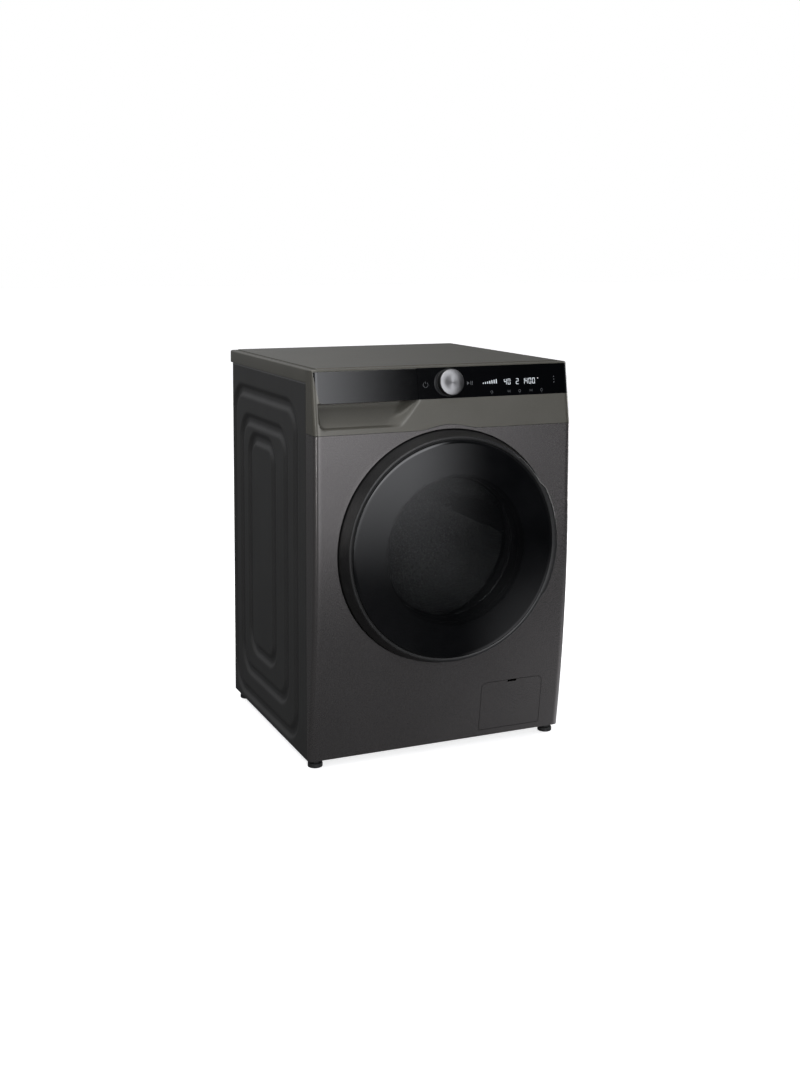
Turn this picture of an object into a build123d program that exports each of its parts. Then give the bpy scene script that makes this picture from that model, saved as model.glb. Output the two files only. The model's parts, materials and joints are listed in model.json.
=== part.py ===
"""Front-loading washer-dryer, built as an assembly of separate pieces.

Millimetres, +Z up.  The origin lies on the floor, midway between the sides and
midway between the front of the door and the rear edge of the worktop.  The
front faces -Y and +X is to the right of someone facing the machine.
"""
from math import asin, atan2, cos, pi, radians, sin, sqrt
import os

from build123d import *

# ---------------------------------------------------------------- driving sizes
# Cabinet
width = 600.0                 # over the side panels
height = 850.0                # floor to worktop
depth = 600.0                 # front panel to the rear edge of the worktop
door_proud = 45.0             # how far the door stands in front of the panel
worktop_overhang = 25.0       # worktop past the rear panel
foot_gap = 18.0               # floor to the bottom edge of the cabinet
sheet = 1.2                   # sheet steel of the cabinet
gap = 0.3                     # assembly gap between neighbouring pieces
run = 0.05                    # radial running clearance of shafts and pins
moving = 2.0                  # clearance round parts that slide or swing

# Front panel
bow_radius = 3200.0           # radius of the bowed lower front, seen from the side
bow_start = 520.0             # height where the bow begins
corner = 12.0                 # rounding of the vertical front edges
side_return = 53.0            # how far the front wraps round the side
seam_height = 714.0           # joint between front panel and console
seam_bump = 11.0              # rise of that joint over the door
seam_bump_half = 78.0
seam_gap = 0.8

# Console
console_lean = 20.0           # the console leans back by this at the worktop's top
console_wall = 5.0
console_top = 844.0
glass_thickness = 3.0
band_bottom = 779.0           # lower edge of the black band
drawer_split = -65.0          # joint between drawer front and console glass
split_gap = 0.8
dial_x = 8.0
dial_height = 812.0
dial_radius = 28.0
dial_length = 17.0
dial_shaft_radius = 6.0

# Worktop
worktop_skirt = 31.0          # height of its rim
worktop_plate = 12.0          # thickness of its flat panel
worktop_rim = 14.0            # width of its rounded rim
worktop_corner = 14.0

# Door, drum and tub share one horizontal axis
axis_x = 3.0
axis_height = 462.0
door_radius = 251.0           # rear edge of the door
door_front_radius = 241.0
door_rim_depth = 34.0         # rim in front of the panel
door_dome = 11.0
door_wall = 4.0
lock_radius = 212.0           # hook and lock, out from the door's axis
door_back = 15.0              # rear edge of the door, behind the panel's front
pocket_radius = 254.0         # round recess in the front panel
pocket_depth = 20.0
mouth_radius = 168.0          # opening in the recess
bowl_radius = 152.0
bowl_depth = 108.0
hinge_inset = 24.0            # hinge axis in from the door's rear edge
hinge_forward = 14.0          # hinge axis in front of the panel
hinge_pin_radius = 4.0
hinge_spread = 46.0           # hinge arms above and below the door's centre
hinge_arm_height = 12.0
handle_reach = 5.0            # handle bulge past the door's front edge
handle_low = -31.0            # degrees round the door
handle_high = 33.0
handle_run_in = 6.0           # degrees over which the bulge rises

tub_radius = 262.0
tub_wall = 4.0
tub_front = 78.0              # behind the panel's front
tub_length = 370.0
tub_front_length = 140.0
tub_mouth_radius = 185.0
tub_travel_down = 10.0
tub_travel_up = 8.0
drum_radius = 245.0
drum_wall = 1.5
drum_length = 335.0
drum_mouth_radius = 178.0
drum_front_gap = 14.0
shaft_radius = 15.0
pulley_radius = 150.0
pulley_width = 16.0
belt_thickness = 3.0
motor_x = 103.0
motor_height = 135.0
motor_radius = 60.0
motor_length = 150.0
motor_pulley_radius = 15.0
weight_thickness = 40.0

# Dispenser drawer
drawer_travel = 235.0
drawer_tray_low = 786.0
drawer_tray_high = 829.0
drawer_tray_left = -272.0
drawer_tray_right = -84.0
drawer_tray_length = 285.0
tray_wall = 2.0
recess_depth = 28.0           # finger recess below the drawer front

# Filter flap and drain pump
flap_left = 97.0
flap_right = 246.0
flap_low = 33.0
flap_high = 143.0
flap_corner = 12.0
flap_low_corner = 2.0
flap_thickness = 3.0
flap_gap = 1.0
filter_x = 171.0
filter_height = 84.0
filter_radius = 30.0
filter_length = 72.0
flap_pin_radius = 1.5
flap_swing = 8.0              # how far the flap's lower edge swings round its pin
pump_length = 140.0

# Feet and suspension
foot_x = 278.0
foot_front_inset = 62.5       # behind the panel's front
foot_rear_inset = 27.0        # in front of the rear panel
foot_radius = 16.0
stud_radius = 5.0
spring_x = 225.0
spring_wire = 2.0
spring_coil = 11.0
spring_turns = 10
damper_x = 222.0
damper_radius = 14.0
spring_front_y, spring_rear_y = -100.0, 95.0
spring_high, spring_low = 762.0, 640.0
damper_front_y, damper_rear_y = -85.0, 110.0
damper_low = 30.0
lug_low = 272.0               # lower end of the tub's damper lugs

# Drawer front and finger recess on the console face
drawer_left_high = -297.0
drawer_left_low = -286.0
recess_low = 725.0
recess_left = -289.0
recess_right = -58.0
recess_right_low = -104.0

# Display window
display_left = 86.0
display_right = 258.0

# Side panels: pressed channels, with middle y, middle z, width, height and corner radius
channel_depth = 6.0
channel_groove = 27.0
channel_sets = [
    (60.0, 401.5, 467.0, 747.0, 74.0),
    (63.0, 399.0, 345.0, 622.0, 66.0),
    (74.0, 410.0, 200.0, 524.0, 58.0),
]

# Rear panel
service_radius = 166.0
cover_radius = 176.0
inlet_x, inlet_z = -245.0, 770.0
inlet_radius = 13.2
inlet_length = 14.0
drain_x, drain_z = 262.0, 100.0
gland_x, gland_z = 245.0, 770.0
transit_x = 160.0
transit_low, transit_high = 320.0, 604.0
rear_screw_heights = (80.0, 300.0, 540.0, 790.0)

# Water path and dryer duct
dispenser_x, dispenser_y = -150.0, 10.0
dispenser_low = 705.0
sump_x, sump_y = 40.0, -130.0
sump_low = 182.0
duct_left, duct_right = 48.0, 200.0
duct_low, duct_high = 730.0, 796.0
duct_y0, duct_y1 = -150.0, 150.0
fan_y = 82.0
fan_radius = 58.0

# ---------------------------------------------------------------- worked out
half = width / 2
front = door_proud - (depth + door_proud) / 2
rear = front + depth - worktop_overhang
seam_y = front + side_return
worktop_bottom = height - worktop_skirt
lean = atan2(console_lean, height - seam_height)
tub_y0 = front + tub_front
tub_y1 = tub_y0 + tub_length
tub_split = tub_y0 + tub_front_length
drum_y0 = tub_y0 + drum_front_gap
drum_y1 = drum_y0 + drum_length
pocket_floor = front + pocket_depth
hinge_x = axis_x - door_radius + hinge_inset
hinge_y = front - hinge_forward
tray_bottom = foot_gap + 3.0
tray_top = 45.0
pulley_y = tub_y1 + 36.0
heater_ring = (drum_radius + tub_radius - tub_wall) / 2
heater_angle = 6.0


def bow(z):
    """Distance of the front panel behind its front-most plane at height z."""
    drop = max(bow_start - z, 0.0)
    return bow_radius - sqrt(bow_radius**2 - drop**2)


drawer_y0 = front + 26.0 + gap
housing_floor = drawer_tray_low - gap * 2 - 2.5
fan_x = (duct_left + duct_right) / 2
hook_y = front + 3.0
flap_pin_z = flap_low + 5.0
flap_pin_y = front + bow(flap_pin_z) + 6.0
pump_y0 = front + bow(filter_height) + 30.0
pump_y1 = pump_y0 + pump_length


def block(x0, x1, y0, y1, z0, z1):
    """Box between two corners."""
    centre = Pos((x0 + x1) / 2, (y0 + y1) / 2, (z0 + z1) / 2)
    return centre * Box(x1 - x0, y1 - y0, z1 - z0)


def rod_z(x, y, z0, z1, r):
    """Upright cylinder."""
    return Pos(x, y, (z0 + z1) / 2) * Cylinder(r, z1 - z0)


def rod_y(x, z, y0, y1, r):
    """Cylinder along Y."""
    return Pos(x, (y0 + y1) / 2, z) * Rot(90, 0, 0) * Cylinder(r, y1 - y0)


def rod_x(y, z, x0, x1, r):
    """Cylinder along X."""
    return Pos((x0 + x1) / 2, y, z) * Rot(0, 90, 0) * Cylinder(r, x1 - x0)


def tube_y(x, z, y0, y1, r_out, r_in):
    """Tube along Y."""
    return rod_y(x, z, y0, y1, r_out) - rod_y(x, z, y0 - 1, y1 + 1, r_in)


def tube_z(x, y, z0, z1, r_out, r_in):
    """Upright tube."""
    return rod_z(x, y, z0, z1, r_out) - rod_z(x, y, z0 - 1, z1 + 1, r_in)


def turned(points):
    """Turn a closed outline of (radius, y) points about the drum axis."""
    outline = make_face(Polyline(*points, close=True))
    return Pos(axis_x, 0, axis_height) * revolve(outline, Axis.Y)


def turned_edges(edges):
    """Turn a closed outline made of edges about the drum axis."""
    return Pos(axis_x, 0, axis_height) * revolve(make_face(edges), Axis.Y)


def polar(radius, angle):
    """Point (x, z) at a radius and an angle in degrees round the drum axis."""
    return axis_x + radius * cos(radians(angle)), axis_height + radius * sin(radians(angle))


def plate_xz(outline, y0, y1):
    """Extrude a sketch drawn in (x, z) from y0 to y1."""
    plane = Plane(origin=(0, y1, 0), x_dir=(1, 0, 0), z_dir=(0, -1, 0))
    return extrude(plane * outline, amount=y1 - y0)


def slanted(x, v, depth_in=0.0):
    """Placement on the leaning console face, v up the slope, depth_in behind it."""
    origin = (x, front + v * sin(lean) + depth_in * cos(lean),
              seam_height + v * cos(lean) - depth_in * sin(lean))
    return Plane(origin=origin, x_dir=(1, 0, 0), z_dir=(0, -cos(lean), sin(lean)))


def slope(z):
    """Distance up the console face of a height z."""
    return (z - seam_height) / cos(lean)


def round_y(solid, x, z, angle):
    """Turn a solid about a line along Y through (x, z)."""
    return Pos(x, 0, z) * Rot(0, angle, 0) * Pos(-x, 0, -z) * solid


def hexagon_nut(x, y, z0, z1, r_hole, across):
    """Hexagonal nut standing on z0."""
    flats = extrude(RegularPolygon(across / 2, 6, major_radius=False), z1 - z0)
    return Pos(x, y, z0) * flats - rod_z(x, y, z0 - 1, z1 + 1, r_hole)


# ---------------------------------------------------------------- front skin
def front_profile(inset, y_back):
    """Side view of the front, bowed below and leaning back above the seam."""
    z_low, z_high = foot_gap - 6, height + 10
    z_mid = (z_low + bow_start) / 2
    y_top = front + inset + (z_high - seam_height) * sin(lean) / cos(lean)
    lines = [
        ThreePointArc(
            (front + inset + bow(z_low), z_low),
            (front + inset + bow(z_mid), z_mid),
            (front + inset, bow_start),
        ),
        Line((front + inset, bow_start), (front + inset, seam_height)),
        Line((front + inset, seam_height), (y_top, z_high)),
        Line((y_top, z_high), (y_back, z_high)),
        Line((y_back, z_high), (y_back, z_low)),
        Line((y_back, z_low), (front + inset + bow(z_low), z_low)),
    ]
    return make_face(Plane.YZ * Curve(lines))


def front_block(inset, z_low, z_high, y_back):
    """Solid with the outline of the whole front, inset on its front and sides."""
    side = half - inset
    body = extrude(front_profile(inset, y_back), amount=side, both=True)
    upright = [
        e for e in body.edges()
        if abs(abs(e.center().X) - side) < 0.01
        and e.center().Y < y_back - 1
        and abs((e @ 0).Z - (e @ 1).Z) > 40
    ]
    body = fillet(upright, max(corner - inset, 1.0))
    return body & block(-half - 5, half + 5, front - 5, y_back + 5, z_low, z_high)


def seam_region(z_far, shift):
    """Everything on one side of the waved joint between front panel and console."""
    half_bump = seam_bump_half
    wave = [
        (axis_x + half_bump * t,
         seam_height + shift + seam_bump * 0.5 * (1 + cos(pi * t)))
        for t in (-1.0, -0.6, -0.25, 0.25, 0.6, 1.0)
    ]
    left, right = -half - 5, half + 5
    base = seam_height + shift
    lines = [
        Line((left, base), wave[0]),
        Spline(*wave, tangents=[(1, 0), (1, 0)]),
        Line(wave[-1], (right, base)),
        Line((right, base), (right, z_far)),
        Line((right, z_far), (left, z_far)),
        Line((left, z_far), (left, base)),
    ]
    return plate_xz(make_face(Curve(lines)), front - 60, rear)


def front_panel():
    outer = front_block(0, foot_gap, seam_height + 60, seam_y - gap)
    inner = front_block(sheet, foot_gap - 5, seam_height + 70, seam_y + 10)
    shell = outer - inner - seam_region(height + 20, -seam_gap / 2)
    # Round recess with a flat floor and a rolled mouth for the door seal.
    recess = turned([(0, front - 50), (pocket_radius, front - 50),
                     (pocket_radius, pocket_floor), (0, pocket_floor)])
    cup = turned([(mouth_radius, pocket_floor), (pocket_radius, pocket_floor),
                  (pocket_radius, front - 1), (pocket_radius + sheet, front - 1),
                  (pocket_radius + sheet, pocket_floor + sheet),
                  (mouth_radius + sheet, pocket_floor + sheet),
                  (mouth_radius + sheet, pocket_floor + 12),
                  (mouth_radius, pocket_floor + 12)])
    shell = shell - recess
    shell = shell + (cup & outer)
    # Opening for the filter flap, with a shallow ledge behind it.
    opening = flap_outline(flap_gap)
    ledge = flap_outline(8.0)
    hole = flap_outline(-8.0)
    y_ledge = front + bow(flap_low) + flap_thickness + 4
    shell = shell - plate_xz(opening, front - 10, y_ledge)
    rim = plate_xz(ledge, front, y_ledge + sheet) & front_block(sheet, foot_gap, 400, seam_y)
    rim = rim - plate_xz(opening, front - 10, y_ledge) - plate_xz(hole, front - 10, seam_y)
    rim = rim - rod_x(flap_pin_y, flap_pin_z, flap_left - 6, flap_right + 6, flap_swing + 1.5)
    shell = shell + rim
    # Ears with the flap's two hinge pins.
    for side, edge in ((1, flap_left), (-1, flap_right)):
        x_ear = edge + side * 5
        ear = block(x_ear - 4, x_ear + 4, flap_pin_y - 1.9, y_ledge + sheet,
                    flap_pin_z - 1.9, flap_pin_z + 16)
        x_low, x_high = sorted((x_ear, x_ear + side * 22))
        pin = rod_x(flap_pin_y, flap_pin_z, x_low, x_high, flap_pin_radius)
        shell = shell + ear + pin
    # Hinge bracket and lock screws, and the lock's slot.
    for z in (-hinge_spread, hinge_spread):
        shell = shell - rod_y(hinge_x + 26, axis_height + z, front, pocket_floor + 5, 2.6)
    lock_x = axis_x + lock_radius
    shell = shell - block(lock_x - 8, lock_x + 8, front, pocket_floor + 5,
                          axis_height - 14, axis_height + 14)
    # Return flanges behind the corners and along the bottom.
    for side in (-1, 1):
        x_in = side * (half - sheet)
        x_flange = side * (half - 14)
        shell = shell + block(min(x_in, x_flange), max(x_in, x_flange),
                              seam_y - gap - sheet, seam_y - gap, tray_top, seam_height - 20)
    return shell


def flap_outline(grow):
    """Outline of the filter flap in (x, z), grown all round, nearly square at the bottom."""
    wide = flap_right - flap_left + 2 * grow
    tall = flap_high - flap_low + 2 * grow
    x_mid = (flap_left + flap_right) / 2
    z_mid = (flap_low + flap_high) / 2
    upper = Pos(x_mid, z_mid) * RectangleRounded(wide, tall, max(flap_corner + grow, 2.0))
    lower_corner = max(flap_low_corner + grow, 1.0)
    lower = Pos(x_mid, flap_low - grow + tall / 4) * RectangleRounded(wide, tall / 2, lower_corner)
    return upper + lower


def filter_flap():
    skin = plate_xz(flap_outline(0), front - 10, seam_y)
    skin = skin & (front_block(0, foot_gap, 400, seam_y)
                   - front_block(flap_thickness, foot_gap - 5, 410, seam_y + 10))
    # Coin slot at the top and hinge lugs at the bottom.
    mid = (flap_left + flap_right) / 2
    skin = skin - block(mid - 11, mid + 11, front, seam_y, flap_high - 4, flap_high + 2)
    for side, edge in ((1, flap_left), (-1, flap_right)):
        x = edge + side * 19
        lug = block(x - 6, x + 6, front + bow(flap_pin_z) + 1, flap_pin_y + 3,
                    flap_pin_z - 3, flap_pin_z + 3)
        skin = skin + lug - rod_x(flap_pin_y, flap_pin_z, x - 10, x + 10, flap_pin_radius + 2 * run)
    return skin


# ---------------------------------------------------------------- console
def band_solid(thickness, x0, x1, v0, v1):
    """Piece of the console's skin between two heights up the slope."""
    skin = front_block(0, seam_height - 40, console_top, seam_y)
    skin = skin - front_block(thickness, seam_height - 50, console_top + 10, seam_y + 10)
    outline = Pos((x0 + x1) / 2, (v0 + v1) / 2) * Rectangle(x1 - x0, v1 - v0)
    window = extrude(slanted(0, 0, -10) * outline, amount=-(thickness + corner + 12))
    return skin & window


def recess_outline(grow):
    """Finger recess below the drawer front, in (x, v) on the console face."""
    low = slope(recess_low) - grow
    high = slope(band_bottom)
    left, right_top, right_low = recess_left - grow, recess_right + grow, recess_right_low + grow
    face = make_face(Polyline((left, high), (left, low), (right_low, low), (right_top, high), close=True))
    lower = [v for v in face.vertices() if v.Y < low + 1]
    return fillet(lower, 15 + grow)


def recess_wedge(grow):
    """Side view of the finger recess: deep at the top, running out at the bottom."""
    def at(v, d):
        p = slanted(0, v, d).origin
        return (p.Y, p.Z)
    low, high = slope(recess_low) - grow, slope(band_bottom)
    points = [at(low, -20), at(low, 3 + grow), at(high - 26, recess_depth + grow),
              at(high, recess_depth + grow), at(high, -20)]
    face = make_face(Plane.YZ * Polyline(*points, close=True))
    return extrude(face, amount=half + 10, both=True)


def recess_volume(grow):
    prism = extrude(slanted(0, 0, -20) * recess_outline(grow), amount=-(20 + recess_depth + 20))
    return prism & recess_wedge(grow)


def drawer_face_outline(grow):
    """Outline of the drawer front in (x, v) on the console face."""
    low = slope(band_bottom) - grow
    high = slope(console_top) - 1.0
    right = drawer_split - split_gap / 2 + grow
    face = make_face(Polyline((drawer_left_high - grow, high), (drawer_left_low - grow, low),
                              (right, low), (right, high), close=True))
    corner_low = [v for v in face.vertices() if v.Y < low + 1 and v.X < -200]
    return fillet(corner_low, 9)


def console_fascia():
    outer = front_block(0, seam_height - 40, console_top, seam_y - gap)
    inner = front_block(console_wall, seam_height - 50, console_top + 10, seam_y + 10)
    shell = outer - inner - seam_region(0, seam_gap / 2)
    shell = shell + (recess_volume(3.0) & front_block(0, seam_height - 40, console_top, seam_y))
    shell = shell - recess_volume(0)
    # Seats for the glass and for the drawer front.
    seat = band_solid(glass_thickness + gap, drawer_split + split_gap / 2 - gap, half + 5,
                      slope(band_bottom) - gap, slope(console_top) + 20)
    shell = shell - seat
    face_cut = extrude(slanted(0, 0, -20) * drawer_face_outline(0.5), amount=-(20 + glass_thickness + 0.6))
    shell = shell - face_cut
    # Opening for the drawer.
    opening = block(drawer_tray_left - moving, drawer_tray_right + moving, front - 5, seam_y - 10,
                    drawer_tray_low - moving, drawer_tray_high + moving)
    shell = shell - opening
    # Hole for the dial shaft and a window for the display.
    v_dial = slope(dial_height)
    shell = shell - extrude(slanted(dial_x, v_dial, -10) * Circle(dial_shaft_radius + 2), amount=-40)
    window = slanted((display_left + display_right) / 2, v_dial, -10) * Rectangle(
        display_right - display_left, 48)
    shell = shell - extrude(window, amount=-40)
    return shell


def console_glass():
    glass = band_solid(glass_thickness, drawer_split + split_gap / 2, half + 5,
                       slope(band_bottom), slope(console_top) + 20)
    v_dial = slope(dial_height)
    hole = extrude(slanted(dial_x, v_dial, -10) * Circle(dial_shaft_radius + 1.5), amount=-40)
    return glass - hole


def display_board():
    """Board with the display, the touch keys and the dial's encoder."""
    v_dial = slope(dial_height)
    d0 = console_wall + 7
    board = slanted(110, v_dial, d0) * Rectangle(300, 50)
    body = extrude(board, amount=-2)
    display = slanted((display_left + display_right) / 2, v_dial, glass_thickness + gap) * Rectangle(
        display_right - display_left - 1, 47)
    body = body + extrude(display, amount=-(d0 - glass_thickness - gap + 0.5))
    encoder = slanted(dial_x, v_dial, d0 - 6) * Circle(11)
    body = body + extrude(encoder, amount=-8)
    for x in (-34, 66):
        for dv in (-20, 20):
            post = slanted(x, v_dial + dv, console_wall) * Circle(3)
            body = body + extrude(post, amount=-7.5)
    body = body - extrude(slanted(dial_x, v_dial, -10) * Circle(dial_shaft_radius - 2 + run), amount=-60)
    return body


def dial_knob():
    v_dial = slope(dial_height)
    face = slanted(dial_x, v_dial, -dial_length) * Circle(dial_radius)
    skirt = extrude(face, amount=-(dial_length - 1.0))
    rim = skirt.faces().sort_by(Axis.Y)[0].edges()
    skirt = fillet(rim, 1.5)
    shaft = extrude(slanted(dial_x, v_dial, -2) * Circle(dial_shaft_radius), amount=-7.5)
    spindle = extrude(slanted(dial_x, v_dial, 0) * Circle(dial_shaft_radius - 2),
                      amount=-(console_wall + 11))
    return skirt + shaft + spindle


# ---------------------------------------------------------------- drawer
def drawer_front():
    plate = extrude(slanted(0, 0, 0) * drawer_face_outline(0), amount=-glass_thickness)
    plate = plate & front_block(0, seam_height - 40, console_top, seam_y)
    # Frame behind the face that the tray clips to.
    back = block(drawer_tray_left + 3, drawer_tray_right - 3, front, front + 26,
                 drawer_tray_low + 3, drawer_tray_high - 3)
    wedge = extrude(slanted(0, 0, glass_thickness) * drawer_face_outline(-8), amount=-26)
    return plate + (back & wedge)


def drawer_tray():
    y0, y1 = drawer_y0, drawer_y0 + drawer_tray_length
    x0, x1 = drawer_tray_left, drawer_tray_right
    body = block(x0, x1, y0, y1, drawer_tray_low, drawer_tray_high)
    inner_z = drawer_tray_low + tray_wall
    top = drawer_tray_high + 5
    third = (x1 - x0 - 4 * tray_wall) / 3
    for i in range(3):
        left = x0 + tray_wall + i * (third + tray_wall)
        body = body - block(left, left + third, y0 + tray_wall, y1 - tray_wall, inner_z, top)
    # Siphon tower in the softener compartment.
    left = x0 + tray_wall + third + tray_wall
    tower = tube_z(left + third / 2, y1 - 24, inner_z - 0.5, drawer_tray_high - 8, 7, 4)
    return body + tower


def drawer_housing():
    y0, y1 = front + 46, drawer_y0 + drawer_tray_length + 14
    x0, x1 = drawer_tray_left - moving, drawer_tray_right + moving
    z0, z1 = drawer_tray_low - gap * 2, drawer_tray_high + moving
    wall = 2.5
    body = block(x0 - wall, x1 + wall, y0, y1, z0 - wall, z1 + wall)
    body = body - block(x0, x1, y0 - 5, y1 - wall, z0, z1)
    spout = tube_z(dispenser_x, dispenser_y, z0 - wall - 22, z0 - 0.5, 16, 13.5)
    body = body - rod_z(dispenser_x, dispenser_y, z0 - wall - 30, z0 + 1, 13.5)
    return body + spout


# ---------------------------------------------------------------- cabinet
def channel_ring(y_mid, z_mid, w, h, groove, radius, x0, x1):
    """Rounded-rectangle ring of a given groove width between two x values."""
    plane = Plane(origin=(x0, y_mid, z_mid), x_dir=(0, 1, 0), z_dir=(1, 0, 0))
    outer = RectangleRounded(w, h, radius)
    inner = RectangleRounded(w - 2 * groove, h - 2 * groove, max(radius - groove, 4))
    return extrude(plane * (outer - inner), amount=x1 - x0)


def side_panel(side):
    """Side panel with three nested pressed channels and folded flanges."""
    z0, z1 = foot_gap, worktop_bottom - gap
    inner = half - sheet
    body = block(inner, half, seam_y, rear, z0, z1)
    for y_mid, z_mid, w, h, radius in channel_sets:
        body = body - channel_ring(y_mid, z_mid, w, h, channel_groove, radius, inner - 1, half + 1)
    for y_mid, z_mid, w, h, radius in channel_sets:
        deep = half - channel_depth
        outer = channel_ring(y_mid, z_mid, w + 2 * sheet, h + 2 * sheet, channel_groove + 2 * sheet,
                             radius + sheet, deep - sheet, half)
        hollow = channel_ring(y_mid, z_mid, w, h, channel_groove, radius, deep, half + 1)
        body = body + (outer - hollow)
    flange = 14.0
    body = body + block(inner - flange, inner, rear - sheet, rear, z0 + 3, z1)
    body = body + block(inner - flange, inner, seam_y, rear - sheet, z1 - sheet, z1)
    body = body + block(inner - flange, inner, seam_y, seam_y + sheet, tray_top + 2, z1)
    if side < 0:
        body = mirror(body, Plane.YZ)
    return body


def foot_positions():
    front_y = front + foot_front_inset
    rear_y = rear - foot_rear_inset
    return {
        "front_left": (-foot_x, front_y),
        "front_right": (foot_x, front_y),
        "rear_left": (-foot_x, rear_y),
        "rear_right": (foot_x, rear_y),
    }


def base_tray():
    x1 = half - channel_depth - sheet - gap
    y0 = front + bow(foot_gap) + sheet + 1.0
    y1 = rear - sheet - gap
    body = block(-x1, x1, y0, y1, tray_bottom, tray_top)
    body = body - block(-x1 + 2, x1 - 2, y0 + 2, y1 - 2, tray_bottom + 2, tray_top + 5)
    # Room for the filter flap's hinge.
    body = body - block(flap_left - 12, flap_right + 12, y0 - 1, y0 + 5, tray_bottom + 2, tray_top + 5)
    # Strengthening ribs and a thick boss round each foot.
    for y in (-60, 110):
        body = body + block(-x1 + 1, x1 - 1, y - 1.5, y + 1.5, tray_bottom + 1, tray_bottom + 8)
    for x, y in foot_positions().values():
        body = body + rod_z(x, y, tray_bottom, tray_bottom + 10, 12)
        body = body - rod_z(x, y, tray_bottom - 5, tray_top, stud_radius + run)
    # Sockets that carry the dampers.
    for x, y in damper_positions():
        body = body + rod_z(x, y, tray_bottom + 1, damper_low - gap / 3, damper_radius + 2)
    return body


def damper_positions():
    return [(x, y) for x in (-damper_x, damper_x) for y in (damper_front_y, damper_rear_y)]


def rear_panel():
    x1 = half - sheet - gap
    body = block(-x1, x1, rear - 2 * sheet - gap, rear - sheet - gap, tray_top + gap, worktop_bottom - 3)
    body = body - rod_y(axis_x, axis_height, rear - 20, rear + 5, service_radius)
    for x, z in transit_positions():
        body = body - rod_y(x, z, rear - 20, rear + 5, 9)
    for x, z in rear_screw_positions() + cover_screw_positions():
        body = body - rod_y(x, z, rear - 20, rear + 5, 2.1)
    body = body - rod_y(inlet_x, inlet_z, rear - 20, rear + 5, 15)
    body = body - rod_y(drain_x, drain_z, rear - 20, rear + 5, 13)
    body = body - rod_y(gland_x, gland_z, rear - 20, rear + 5, 8)
    return body


def transit_positions():
    return [(x, z) for x in (-transit_x, transit_x) for z in (transit_low, transit_high)]


def rear_screw_positions():
    return [(x, z) for x in (-half + 8, half - 8) for z in rear_screw_heights]


def cover_screw_positions():
    radius = (service_radius + cover_radius) / 2
    return [polar(radius, angle) for angle in range(30, 390, 60)]


def rear_service_cover():
    y0 = rear - sheet - gap
    body = rod_y(axis_x, axis_height, y0, y0 + sheet, cover_radius)
    body = body + (rod_y(axis_x, axis_height, y0 + sheet - 0.1, y0 + 6, 150)
                   - rod_y(axis_x, axis_height, y0 - 1, y0 + 4.8, 148.8))
    for x, z in cover_screw_positions():
        body = body - rod_y(x, z, rear - 20, rear + 5, 2.1)
    return body


def cabinet_screws():
    screws = []
    panel_face = rear - sheet - gap
    for x, z in cover_screw_positions():
        y = panel_face + sheet
        screws.append(rod_y(x, z, y, y + 2.2, 4) + rod_y(x, z, y - 8, y + 0.5, 1.9))
    return screws


def cross_braces():
    """Top rails front and rear, and the four brackets that the springs hang from."""
    solids = []
    z1 = worktop_bottom - gap - sheet - gap
    x1 = half - sheet - gap
    rear_rail = block(-x1, x1, rear - 60, rear - 20, z1 - 18, z1)
    rear_rail = rear_rail - block(-x1 - 1, x1 + 1, rear - 58.5, rear - 21.5, z1 - 16.5, z1 + 1)
    solids.append(rear_rail)
    for x, y in spring_positions():
        side = 1 if x > 0 else -1
        wall = half - channel_depth - sheet - gap
        arm = block(min(x - side * 14, side * wall), max(x - side * 14, side * wall), y - 12, y + 12,
                    spring_high, spring_high + 3)
        fold = block(min(side * wall, side * (wall - 3)), max(side * wall, side * (wall - 3)),
                     y - 12, y + 12, spring_high - 40, spring_high + 2)
        solids.append(arm + fold - rod_z(x, y, spring_high - 5, spring_high + 5, spring_wire + gap))
    return solids


def spring_positions():
    return [(x, y) for x in (-spring_x, spring_x) for y in (spring_front_y, spring_rear_y)]


def worktop():
    x1 = half
    y0 = seam_y + gap
    y1 = rear + worktop_overhang
    body = block(-x1, x1, y0, y1, worktop_bottom, height)
    front_top = front + console_lean
    lip = block(-x1, x1, front_top, y0 + 2, console_top + gap, height)
    body = body + lip
    upright = [e for e in body.edges() if abs((e @ 0).Z - (e @ 1).Z) > 4
               and abs(abs(e.center().X) - x1) < 0.01
               and (e.center().Y > y1 - 1 or e.center().Y < front_top + 1)]
    body = fillet(upright, corner)
    top = body.faces().sort_by(Axis.Z)[-1].edges()
    body = fillet(top, 4.0)
    # Hollow underside, and the step between the rim and the flat panel.
    body = body - block(-x1 + 14, x1 - 14, y0 - 1, y1 - 14, worktop_bottom - 1, height - worktop_plate)
    groove_out = Pos(0, (front_top + y1) / 2, height - 1.2) * Box(
        width - 2 * worktop_rim, y1 - front_top - 2 * worktop_rim, 2.4)
    groove_in = Pos(0, (front_top + y1) / 2, height - 1.2) * Box(
        width - 2 * worktop_rim - 5, y1 - front_top - 2 * worktop_rim - 5, 2.4)
    return body - (groove_out - groove_in)


def foot(x, y):
    pad = rod_z(x, y, 0, 9, foot_radius)
    pad = fillet(pad.edges().filter_by(GeomType.CIRCLE), 1.5)
    flats = Pos(x, y, 8.5) * extrude(RegularPolygon(8.5, 6, major_radius=False), 4)
    stud = rod_z(x, y, 12, tray_bottom + 26, stud_radius)
    return pad + flats + stud


def foot_lock_nuts():
    return [hexagon_nut(x, y, tray_bottom - 6 - gap / 3, tray_bottom - gap / 3, stud_radius + run, 17)
            for x, y in foot_positions().values()]


def transit_plugs():
    plugs = []
    for x, z in transit_positions():
        y = rear - sheet - gap
        plugs.append(rod_y(x, z, y, y + 3, 13) + rod_y(x, z, y - 7, y + 0.5, 8.8))
    return plugs


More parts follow.
